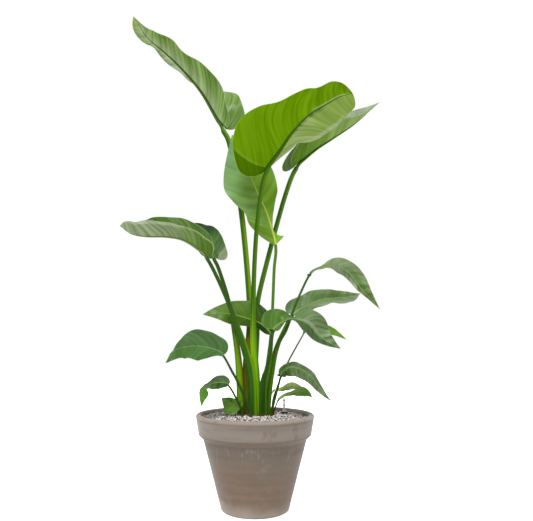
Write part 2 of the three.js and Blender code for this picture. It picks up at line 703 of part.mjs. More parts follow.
// The fill of the pot, with the topmost granules as relief.
function fillGeometry() {
  const wall = (z) => innerRadiusAt(z) - GAP;
  const edgeRadius = wall(fill.edge);
  const bottom = pot.floor + GAP;
  const points = [];
  const triangles = [];
  const ringStart = (ring) => 1 + (ring - 1) * fill.sectors;
  points.push(new THREE.Vector3(0, 0, fill.crown));
  for (let ring = 1; ring <= fill.rings; ring++) {
    for (let sector = 0; sector < fill.sectors; sector++) {
      const last = ring === fill.rings;
      const radius = (edgeRadius * ring) / fill.rings;
      const angle = (2 * Math.PI * (sector + (ring % 2) / 2)) / fill.sectors;
      const mound = THREE.MathUtils.smoothstep(radius, fill.crownRadius, edgeRadius);
      const height = lerp(fill.crown, fill.edge, mound) + (last ? 0 : fill.relief * draw(ring, sector));
      points.push(new THREE.Vector3(radius * Math.cos(angle), radius * Math.sin(angle), height));
    }
  }
  const lowStart = ringStart(fill.rings + 1);
  for (const [radius, z] of [[wall(pot.floor + 8), pot.floor + 8], [pot.innerFloorRadius - 8, bottom]]) {
    for (let sector = 0; sector < fill.sectors; sector++) {
      const angle = (2 * Math.PI * (sector + (fill.rings % 2) / 2)) / fill.sectors;
      points.push(new THREE.Vector3(radius * Math.cos(angle), radius * Math.sin(angle), z));
    }
  }
  const floorCentre = points.push(new THREE.Vector3(0, 0, bottom)) - 1;
  const rings = Array.from({ length: fill.rings }, (_, i) => ringStart(i + 1));
  rings.push(lowStart, lowStart + fill.sectors);
  for (let i = 0; i < fill.sectors; i++) {
    const j = (i + 1) % fill.sectors;
    triangles.push([0, rings[0] + i, rings[0] + j]);
    triangles.push([floorCentre, rings.at(-1) + j, rings.at(-1) + i]);
    for (let k = 0; k < rings.length - 1; k++) {
      const [a, b] = [rings[k] + i, rings[k] + j];
      const [c, d] = [rings[k + 1] + i, rings[k + 1] + j];
      // The next ring is turned by half a sector, forwards and backwards in turn.
      if (k % 2 === 0 && k < fill.rings - 1) triangles.push([a, c, b], [b, c, d]);
      else triangles.push([a, c, d], [a, d, b]);
    }
  }
  return closedGeometry(points, triangles);
}

// ---- The water level gauge ------------------------------------------------------------------------------------

function atGauge(geometry) {
  return geometry.translate(gauge.x, gauge.y, 0);
}

const shaftFloor = gauge.foot + 2;

function shaftGeometry() {
  const pipe = solid(
    turned(
      [
        [0, gauge.foot],
        [gauge.shaftRadius, gauge.foot],
        [gauge.shaftRadius, gauge.collarBottom],
        [gauge.collarRadius, gauge.collarBottom],
        [gauge.collarRadius, gauge.collarTop],
        [gauge.shaftBore, gauge.collarTop],
        [gauge.shaftBore, shaftFloor],
        [0, shaftFloor],
      ],
      gauge.sides,
    ),
  );
  const slot = solid(new THREE.BoxGeometry(3 * gauge.shaftRadius, 3, 14).translate(0, 0, shaftFloor + 9));
  return atGauge(geometryOf(pipe.subtract(slot)));
}

function floatGeometry() {
  const bottom = shaftFloor + GAP;
  return atGauge(
    turned(
      [
        [0, bottom],
        [gauge.floatRadius, bottom],
        [gauge.floatRadius, bottom + gauge.floatHeight],
        [gauge.rodRadius, bottom + gauge.floatHeight],
        [gauge.rodRadius, gauge.rodTop],
        [0, gauge.rodTop],
      ],
      gauge.sides,
    ),
  );
}

function domeGeometry() {
  const bottom = gauge.collarTop + GAP;
  const footTop = bottom + gauge.domeFootHeight;
  return atGauge(
    turned(
      [
        [gauge.domeBore, bottom],
        [gauge.domeFootRadius, bottom],
        [gauge.domeFootRadius, bottom + 1],
        [gauge.domeRadius, footTop],
        [gauge.domeRadius, gauge.domeTop - 1.5],
        [gauge.domeRadius - 1.5, gauge.domeTop],
        [0, gauge.domeTop],
        [0, gauge.domeTop - 3],
        [gauge.domeBore, gauge.domeTop - 3],
        [gauge.domeBore, bottom],
      ],
      gauge.sides,
    ),
  );
}

// The hole in the granules that the shaft and its collar stand in.
function gaugeHole() {
  return atGauge(
    turned(
      [
        [0, gauge.foot - GAP],
        [gauge.shaftRadius + GAP, gauge.foot - GAP],
        [gauge.shaftRadius + GAP, gauge.collarBottom - GAP],
        [gauge.collarRadius + GAP, gauge.collarBottom - GAP],
        [gauge.collarRadius + GAP, pot.height],
        [0, pot.height],
      ],
      gauge.sides,
    ),
  );
}

// ---- The whole plant --------------------------------------------------------------------------------------------

function granulesWithHoles() {
  let granules = solid(fillGeometry()).subtract(solid(gaugeHole()));
  for (const leaf of leaves) granules = granules.subtract(solid(stalkGeometry(leaf, GAP)));
  return geometryOf(granules);
}

const group = new THREE.Group();
group.add(
  named("pot", potGeometry(), "clay", 0.85),
  named("granules", granulesWithHoles(), "granules", 0.9),
  named("gauge_shaft", shaftGeometry(), "darkPlastic", 0.5),
  named("gauge_float", floatGeometry(), "red", 0.5),
  named("gauge_dome", domeGeometry(), "clearPlastic", 0.2),
);
for (const leaf of leaves) {
  const [stalkShade, bladeShade] = leaf.colours;
  group.add(
    named("stalk_" + leaf.name, stalkGeometry(leaf), stalkShade, 0.55),
    named("blade_" + leaf.name, bladeGeometry(leaf), bladeShade, 0.45),
  );
}

export default group;
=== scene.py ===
"""A potted bird of paradise: a clay pot of mineral granules with seventeen leaves and a water level gauge.

Dimensions are in millimetres, and MM turns them into Blender's metres. They are those of the CAD model, apart
from the few whose comments say otherwise. The view that the leaves are named from looks along +Y, with +X to
the right.
"""

import math
import random

import bmesh
import bpy
from mathutils import Matrix, Vector


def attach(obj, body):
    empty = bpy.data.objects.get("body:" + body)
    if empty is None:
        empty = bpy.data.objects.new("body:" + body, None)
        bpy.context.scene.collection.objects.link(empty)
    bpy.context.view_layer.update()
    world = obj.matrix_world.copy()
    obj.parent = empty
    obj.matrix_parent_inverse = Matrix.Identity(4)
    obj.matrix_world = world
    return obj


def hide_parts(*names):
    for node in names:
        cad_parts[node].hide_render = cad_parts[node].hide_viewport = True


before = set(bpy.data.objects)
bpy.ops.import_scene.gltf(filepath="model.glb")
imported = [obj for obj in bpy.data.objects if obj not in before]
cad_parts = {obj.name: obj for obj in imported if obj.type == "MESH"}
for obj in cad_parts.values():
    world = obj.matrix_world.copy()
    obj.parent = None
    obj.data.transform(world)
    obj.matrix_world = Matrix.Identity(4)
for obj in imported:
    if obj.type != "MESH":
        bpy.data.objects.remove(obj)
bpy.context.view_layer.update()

MM = 0.001
BODY = "root"

# ---- Dimensions ----------------------------------------------------------------------------------

GAP = 0.3  # between pieces that touch
BLADE_THICKNESS = 1.1  # room that a blade takes in the CAD model
BLADE_SKIN = 0.7  # thickness that it is drawn with
ROOT_END = 185  # height above the ground at which the stalks end in the granules

POT = dict(
    height=238, rim_radius=155, lip_round=6,
    band_bottom=186.5, band_bottom_radius=147,
    neck=176, neck_radius=135,
    foot_radius=88, foot_round=4,
    inner_rim_radius=142, inner_round=4,
    floor=14, inner_floor_radius=74, floor_round=8,
    steps=160,
)
# Steps outward and upward from the neck, and from the band's lower edge, that round them off.
NECK_EDGE = [(-0.4, -1.5), (0.5, 0.6)]
BAND_EDGE = [(-2.2, -3), (-0.7, -1.9), (0, 0)]
BAND_EDGE_HEIGHT = 1.6

FILL = dict(edge=228, crown=232, crown_radius=70)

STONES = dict(
    count=2700, tries=12, seed=11,
    radius=(2.2, 4.0),
    small_ones=1.6,  # the higher, the more of them are small
    stretch=[(0.85, 1.25), (0.7, 1.05), (0.6, 0.95)],
    lift=(-1.8, 0.6),  # of their middles over the fill
    tilt=0.6, dent=0.16,
    closeness=0.78,  # share of two stones' radii together that their middles stay apart
    clear_of_wall=2.4, clear_of_gauge=4, clear_of_stalk=1,
)

GAUGE = dict(
    x=80, y=50, foot=106, steps=48,
    shaft_radius=6, shaft_bore=4.3, shaft_floor=2,
    collar_radius=9.4, collar_bottom=227,
    collar_top=236,  # 2.5 higher than in the CAD model, to show above the loose stones
    dome_top=274, dome_radius=3.4, dome_bore=2.3, dome_cap=3, dome_round=1.5,
    dome_foot_radius=8, dome_foot_height=5,
    float_radius=3.7, float_height=46, rod_radius=1.6,
    rod_top=245,  # 4 higher than in the CAD model, as it stands in the higher collar
    marks=(253.4, 265.8), mark_half=0.9, mark_inside=0.02, mark_outside=0.2,
)

# Each leaf is a stalk and a blade. `stalk` holds points of its centre line from the granules up to the
# blade, and `midrib` those of the line that goes on from there to the tip. A half of the blade is told by
# its `spread`, the direction in which it leaves the midrib, and by its `width`, both as a few values from
# base to tip. Left and right are as seen on the upper face with the tip up. `lobe` sweeps the base of the
# blade back past the stalk, `point` sweeps the end forwards, `cup` lifts the edges, `blunt` widens the
# tip, and `wave` is the height and the number of waves along an edge. `stalk_width` is half the width of
# the stalk, either at the granules and at the blade or at every point of its centre line. A `big` blade
# has a finer mesh.
#
# The values are those of the CAD model but for three. The stalks of tall_left and left_back are up to 2.5
# wider on each side near the foot, as their sheaths close up in the photograph. The right half of tall_left
# is up to 11 narrower at its widest, and up to 4 wider beside that.
USUAL = dict(lobe=-0.4, point=0.1, cup=0.08, blunt=2, big=False)
LEAVES = [
    dict(
        USUAL, name="tall_left", lobe=-0.5, wave=(3, 5), blunt=6, big=True,
        stalk_width=(12.5, 14, 9, 8, 8, 7.7, 7.5),
        stalk=[(-16, 14, 240), (-20, 24, 350), (-15, 36, 459), (-17, 42, 562), (-39, 46, 796),
            (-72, 52, 991), (-93, 54, 1044)],
        midrib=[(-119, 58, 1093), (-165, 62, 1174), (-226, 64, 1249), (-279, 62, 1301), (-326, 52, 1339),
            (-367, 42, 1402)],
        left_spread=[(0.7, -0.6, -0.2), (0.65, -0.65, 0.05), (0.55, -0.65, 0.1), (0.55, -0.65, 0.1),
            (0.6, -0.6, 0.2), (0.7, -0.4, 0.5)],
        left_width=[26, 42, 60, 70, 64, 47, 50, 44, 33, 17, 8],
        right_spread=[(0.95, 0.2, 0.2), (0.38, 0.3, 1.3), (-0.06, 0.8, 0.48), (-0.12, 0.9, 0.06),
            (-0.3, 0.85, 0.08), (-0.55, 0.5, -0.15)],
        right_width=[46, 78, 94, 113, 84, 76, 66, 46, 32, 50, 80], right_lobe=-0.8,
    ),
    dict(
        USUAL, name="front_bright", lobe=-0.8, point=0.5, cup=0.06, wave=(3, 4), blunt=14, big=True,
        stalk_width=(11, 10.5, 9, 6.5, 6, 6, 6),
        stalk=[(7, -2, 242), (4, -4, 312), (-3, -13, 416), (-4, -16, 555), (3, -32, 708), (16, -48, 820),
            (32, -62, 878)],
        midrib=[(72, -86, 933), (100, -103, 970), (141, -117, 1010), (184, -122, 1036), (222, -118, 1060),
            (258, -106, 1075)],
        left_spread=[(0.1, 0.95, 0.2), (0.25, 0.9, 0.2), (0.38, 0.8, -0.05), (0.5, 0.7, -0.25),
            (0.6, 0.6, -0.35), (0.4, 0.3, -0.5)],
        left_width=[60, 76, 100, 113, 115, 106, 90, 72, 58, 43, 32],
        right_spread=[(-1, 0.1, -0.1), (-0.87, 0.1, 0.5), (-0.6, 0.35, 0.7), (-0.45, 0.47, 0.7),
            (-0.2, 0.5, 0.7), (0.1, 0.55, 0.7)],
        right_width=[0, 73, 142, 130, 110, 100, 94, 90, 87, 87, 88], right_base=0, right_lobe=-2.5,
        right_lobe_share=0.3,
    ),
    dict(
        USUAL, name="right_folded", lobe=-0.8, wave=(2, 4), big=True,
        stalk_width=(7, 6.8),
        stalk=[(0, 24, 239), (1, 30, 350), (6, 38, 450), (7, 40, 532), (36, 44, 658), (86, 60, 842),
            (122, 73, 936)],
        midrib=[(174, 75, 989), (235, 73, 1030), (301, 67, 1074), (370, 52, 1132)],
        left_spread=[(-0.8, 0.3, -0.5), (-0.2, 0.35, 0.9), (-0.1, 0.2, 0.95), (-0.1, 0.15, 0.95)],
        left_width=[58, 62, 66, 62, 50, 30], left_base=0.2, left_lobe=-1.8, left_lobe_share=0.25,
        right_spread=[(-0.5, -0.8, 0.1), (-0.2, -0.88, 0.28), (-0.15, -0.88, 0.3), (-0.1, -0.8, 0.4)],
        right_width=[36, 70, 64, 54, 24, 10],
    ),
    dict(
        USUAL, name="centre_upright", lobe=-0.3, cup=0, wave=(2.5, 4), big=True,
        stalk_width=(4, 4.2),
        stalk=[(15, 32, 239), (30, 32, 337), (44, 30, 445), (49, 28, 527), (53, 20, 623), (57, 12, 692)],
        midrib=[(34, 14, 781), (8, 20, 842), (-26, 26, 929), (-67, 32, 1022)],
        left_spread=[(-0.9, -0.1, -0.1), (-0.9, 0, -0.3), (-0.9, 0.1, -0.3)],
        left_width=[20, 38, 57, 58, 60, 73, 84, 81, 74, 67, 60],
        right_spread=[(0.9, 0.2, 0.3), (0.7, 0.5, 0.5), (0.7, 0.5, 0.5)],
        right_width=[36, 5, 11, 30, 50, 70, 84, 87, 86, 82, 76], right_base=0.03, right_lobe=0.7,
    ),
    dict(
        USUAL, name="left_front", wave=(2, 5), blunt=6,
        stalk_width=(11, 10.5, 10.5, 6.2, 5, 4.8),
        stalk=[(-6, -14, 243), (-9, -16, 327), (-23, -22, 394), (-62, -36, 506), (-97, -46, 587),
            (-127, -56, 643)],
        midrib=[(-154, -66, 668), (-190, -78, 687), (-232, -88, 692), (-279, -96, 691), (-318, -98, 698),
            (-348, -92, 720)],
        left_spread=[(0.2, -0.7, 0.7), (0.1, -0.8, 0.6), (0, -0.8, 0.6), (0, -0.6, 0.8)],
        left_width=[40, 43, 44, 43, 42, 46, 50, 46, 38, 37, 36],
        right_spread=[(0.2, 0.4, 0.8), (0, 0.25, 0.95), (0, 0.2, 0.95), (0, 0.4, 0.8)],
        right_width=[40, 52, 59, 59, 57, 55, 52, 44, 34, 26, 20],
    ),
    dict(
        USUAL, name="left_back", cup=0, wave=(1.5, 4),
        stalk_width=(10, 10, 8.4, 5.6, 5.3, 5.2),
        stalk=[(-38, 8, 241), (-40, 10, 311), (-48, 18, 404), (-72, 30, 533), (-101, 38, 626),
            (-116, 42, 658)],
        midrib=[(-135, 62, 703), (-167, 92, 743), (-213, 122, 768), (-259, 147, 781)],
        left_spread=[(-0.8, -0.3, 0.2), (-0.7, -0.4, 0.2), (-0.5, -0.5, 0.3)],
        left_width=[30, 45, 50, 45, 35, 20],
        right_spread=[(0.9, 0.2, 0.3), (0.8, 0.4, 0.4), (0.6, 0.6, 0.4)],
        right_width=[42, 46, 55, 52, 40, 30], right_lobe=-1.1,
    ),
    dict(
        USUAL, name="right_arching", lobe=0, wave=(1, 3),
        stalk_width=(7, 3),
        stalk=[(34, 0, 242), (44, 0, 325), (60, -2, 410), (84, -2, 457), (102, -2, 505), (123, 0, 555),
            (152, 4, 610)],
        midrib=[(183, 2, 627), (217, -2, 634), (254, -8, 612), (284, -14, 569), (310, -18, 538),
            (334, -20, 510)],
        left_spread=[(-0.1, 0.8, -0.6), (-0.2, 0.75, -0.6), (-0.4, 0.7, -0.5), (-0.7, 0.6, -0.4),
            (-0.7, 0.6, -0.4), (-0.6, 0.4, -0.5)],
        left_width=[10, 5, 8, 16, 24, 19, 14, 11, 8, 7, 6], left_base=0.02,
        right_spread=[(0.1, -0.5, 0.8), (0.1, -0.5, 0.8), (0.3, -0.5, 0.7), (0.7, -0.4, 0.5),
            (0.8, -0.3, 0.45), (0.8, -0.3, 0.4)],
        right_width=[4, 7, 26, 28, 18, 11],
    ),
    dict(
        USUAL, name="right_level", wave=(1.5, 4),
        stalk_width=(7, 8, 7.2, 5, 4.5),
        stalk=[(32, 17, 240), (42, 19, 324), (55, 22, 396), (80, 28, 458), (104, 34, 498)],
        midrib=[(147, 42, 526), (188, 50, 543), (233, 58, 549), (269, 64, 553), (301, 68, 562)],
        left_spread=[(-0.3, 0.4, 0.9), (-0.2, 0.5, 0.8), (0, 0.5, 0.8), (0.1, 0.5, 0.8)],
        left_width=[40, 37, 36, 26, 22, 18], left_lobe=-0.8,
        right_spread=[(0.4, -0.6, -0.6), (0.2, -0.8, -0.4), (0.1, -0.8, -0.4), (0, -0.8, -0.4)],
        right_width=[20, 36, 48, 52, 48, 30],
    ),
    dict(
        USUAL, name="right_twisted", wave=(1, 4),
        stalk_width=(11, 9.5, 6.5, 5, 4.5, 4.5),
        stalk=[(21, -14, 243), (23, -17, 318), (31, -21, 352), (41, -26, 400), (44, -30, 434),
            (50, -36, 457)],
        midrib=[(70, -44, 474), (93, -52, 482), (124, -60, 481), (146, -68, 469), (167, -76, 438),
            (189, -84, 420), (213, -92, 407)],
        left_spread=[(-0.8, 0.2, 0.6), (-0.5, 0.3, 0.85), (0, 1, 0.1), (0.1, 0.5, 0.8), (0.3, 0.3, 0.8),
            (0.6, 0.3, 0.7), (0.7, 0.2, 0.6), (0.7, 0.2, 0.5)],
        left_width=[50, 48, 36, 32, 34, 34, 35, 31, 27, 25, 24], left_lobe=-0.9,
        right_spread=[(0.5, -0.5, -0.6), (0.2, -0.8, -0.6), (0, -1, -0.1), (-0.1, -0.7, -0.6),
            (-0.3, -0.6, -0.8), (-0.5, -0.5, -0.7), (-0.5, -0.5, -0.7), (-0.4, -0.4, -0.7)],
        right_width=[20, 18, 32, 36, 20, 14],
    ),
    dict(
        USUAL, name="right_hidden", lobe=0, wave=(0.5, 3),
        stalk_width=(2.5, 1.8),
        stalk=[(45, 18, 240), (52, 20, 284), (87, 24, 365), (130, 36, 440), (140, 40, 455)],
        midrib=[(175, 44, 467), (213, 46, 456), (254, 46, 432)],
        left_spread=[(0.2, 0.3, 0.9), (0.3, 0.3, 0.8), (0.4, 0.3, 0.8)],
        left_width=[6, 14, 13, 11, 9, 8],
        right_spread=[(-0.2, -0.6, -0.6), (-0.3, -0.6, -0.6), (-0.4, -0.4, -0.6)],
        right_width=[6, 16, 20, 18, 12, 9],
    ),
    dict(
        USUAL, name="centre_left", cup=0, wave=(1, 4),
        stalk_width=(5, 3.5),
        stalk=[(19, 14, 240), (27, 14, 324), (38, 12, 404), (42, 8, 445)],
        midrib=[(19, 6, 472), (-11, 6, 485), (-54, 4, 497), (-97, 4, 502), (-142, 6, 499)],
        left_spread=[(-0.6, 0.1, -0.6), (-0.2, 0.1, -0.9), (0, -0.3, -0.9), (0, -0.4, -0.8)],
        left_width=[14, 16, 20, 28, 25, 20],
        right_spread=[(0.6, 0.3, 0.7), (0.3, 0.3, 0.9), (0, 0.35, 0.9), (0, 0.4, 0.8)],
        right_width=[24, 38, 54, 44, 32, 26],
    ),
    dict(
        USUAL, name="lower_left", cup=0, wave=(1.5, 3),
        stalk_width=(6, 2.8),
        stalk=[(-12, -30, 245), (-33, -38, 298), (-59, -48, 349), (-82, -60, 390)],
        midrib=[(-104, -68, 405), (-147, -82, 413), (-179, -94, 410), (-200, -102, 400), (-219, -108, 372)],
        left_spread=[(0, -0.7, -0.7), (0.1, -0.7, -0.7), (0.1, -0.7, -0.7), (0.5, -0.5, -0.6)],
        left_width=[14, 24, 50, 37, 44, 34],
        right_spread=[(0.8, 0.2, 0.6), (0.2, 0.5, 0.8), (-0.1, 0.6, 0.8), (-0.5, 0.8, 0.3),
            (-0.6, 0.8, 0.3)],
        right_width=[24, 34, 41, 48, 51, 40, 27, 20, 13, 10, 8],
    ),
    dict(
        USUAL, name="small_left", cup=0, wave=(0, 3),
        stalk_width=(3.5, 2.4),
        stalk=[(-32, -28, 245), (-50, -36, 283), (-69, -46, 314)],
        midrib=[(-92, -54, 321), (-114, -62, 316), (-131, -70, 307), (-135, -74, 288), (-133, -74, 264)],
        left_spread=[(0.1, -0.7, -0.6), (0, -0.7, -0.6), (-0.1, -0.8, -0.3), (0.9, -0.3, 0),
            (0.9, -0.3, 0)],
        left_width=[12, 20, 26, 24, 22, 14],
        right_spread=[(0.3, 0.6, 0.7), (0.1, 0.6, 0.7), (-0.3, 0.8, 0.4), (-0.8, 0.5, 0.1),
            (-0.8, 0.4, 0.1)],
        right_width=[22, 20, 11, 8, 6, 6],
    ),
    dict(
        USUAL, name="lower_right", wave=(1, 4),
        stalk_width=(4, 2.8),
        stalk=[(43, -12, 243), (51, -14, 274), (60, -18, 307), (68, -24, 336)],
        midrib=[(77, -30, 351), (96, -40, 358), (120, -54, 351), (141, -68, 336), (157, -78, 314),
            (171, -84, 296), (188, -88, 278)],
        left_spread=[(-0.5, 0.5, 0.8), (0, 0.6, 0.75), (0.3, 0.6, 0.7), (0.8, 0.4, 0.4), (0.8, 0.3, 0.4)],
        left_width=[10, 16, 16, 12, 9, 7],
        right_spread=[(0.3, -0.6, -0.7), (0, -0.8, -0.6), (-0.3, -0.8, -0.5), (-0.6, -0.7, -0.4),
            (-0.7, -0.5, -0.4)],
        right_width=[14, 29, 40, 28, 16, 12],
    ),
    dict(
        USUAL, name="small_right_upper", lobe=0, wave=(0, 3),
        stalk_width=(1.8, 1.5),
        stalk=[(40, 8, 241), (41, 8, 272), (48, 8, 293)],
        midrib=[(72, 6, 298), (98, 2, 305), (129, -4, 303)],
        left_spread=[(0, 0.4, 0.8), (0, 0.4, 0.8), (0.2, 0.4, 0.8)],
        left_width=[4, 6, 9, 14, 14, 12],
        right_spread=[(0, -0.8, -0.4), (0, -0.8, -0.4), (0, -0.8, -0.4)],
        right_width=[3, 6, 10, 13, 9, 6],
    ),
    dict(
        USUAL, name="small_right_lower", lobe=0, wave=(0, 3),
        stalk_width=(2, 1.7),
        stalk=[(49, -2, 242), (54, -3, 255), (60, -6, 269)],
        midrib=[(76, -10, 283), (97, -16, 289), (119, -24, 293), (135, -28, 290), (148, -32, 282)],
        left_spread=[(0, 0.4, 0.8), (0, 0.4, 0.8), (0.2, 0.4, 0.8)],
        left_width=[4, 6, 8, 16, 14, 10],
        right_spread=[(0, -0.8, -0.4), (0, -0.8, -0.4), (0, -0.8, -0.4)],
        right_width=[3, 6, 8, 18, 20, 16],
    ),
    dict(
        USUAL, name="ground_left", lobe=0, point=0, cup=0, wave=(0, 3),
        stalk_width=(3, 2.6),
        stalk=[(-36, -8, 232), (-38, -9, 241), (-43, -10, 247)],
        midrib=[(-57, -14, 261), (-70, -18, 272), (-88, -20, 279)],
        left_spread=[(-0.7, -0.3, -0.7), (-0.6, -0.3, -0.7), (-0.5, -0.3, -0.7)],
        left_width=[16, 24, 30, 28, 24, 16],
        right_spread=[(0.6, 0.3, 0.8), (0.5, 0.4, 0.8), (0.3, 0.4, 0.8)],
        right_width=[24, 20, 17, 12, 8, 6],
    ),
]

# The nubs at the ends of some stalks, which the CAD model leaves out: how far up the stalk, the move aside,
# and half of each size.
NUBS = {
    "right_arching": (0.985, (-1, -2, 0), (6, 4, 3.6)),
    "right_hidden": (0.93, (0, -1, 0), (3.4, 3, 4.6)),
    "lower_right": (0.99, (-5, -1, 3), (4.6, 3, 3.2)),
}

LEFT, RIGHT = 0, 1
BEFORE, BEYOND = -1, 2  # places before the base, and beyond the tip or the edge


def patch(colour, strength, half, start, end, soft=0.02, slope=0.0, near=0.0, far=1.0, veins=None):
    """A patch of colour on one half of a blade, between shares of its length and of the half's width.

    `soft` blurs its ends, `slope` slants them, and `veins` names the veins that it follows.
    """
    inputs = {"Half": half, "From": start, "To": end, "Soft": soft, "Slope": slope, "Near": near, "Far": far}
    return dict(colour=colour, strength=strength, inputs=inputs, veins=veins)


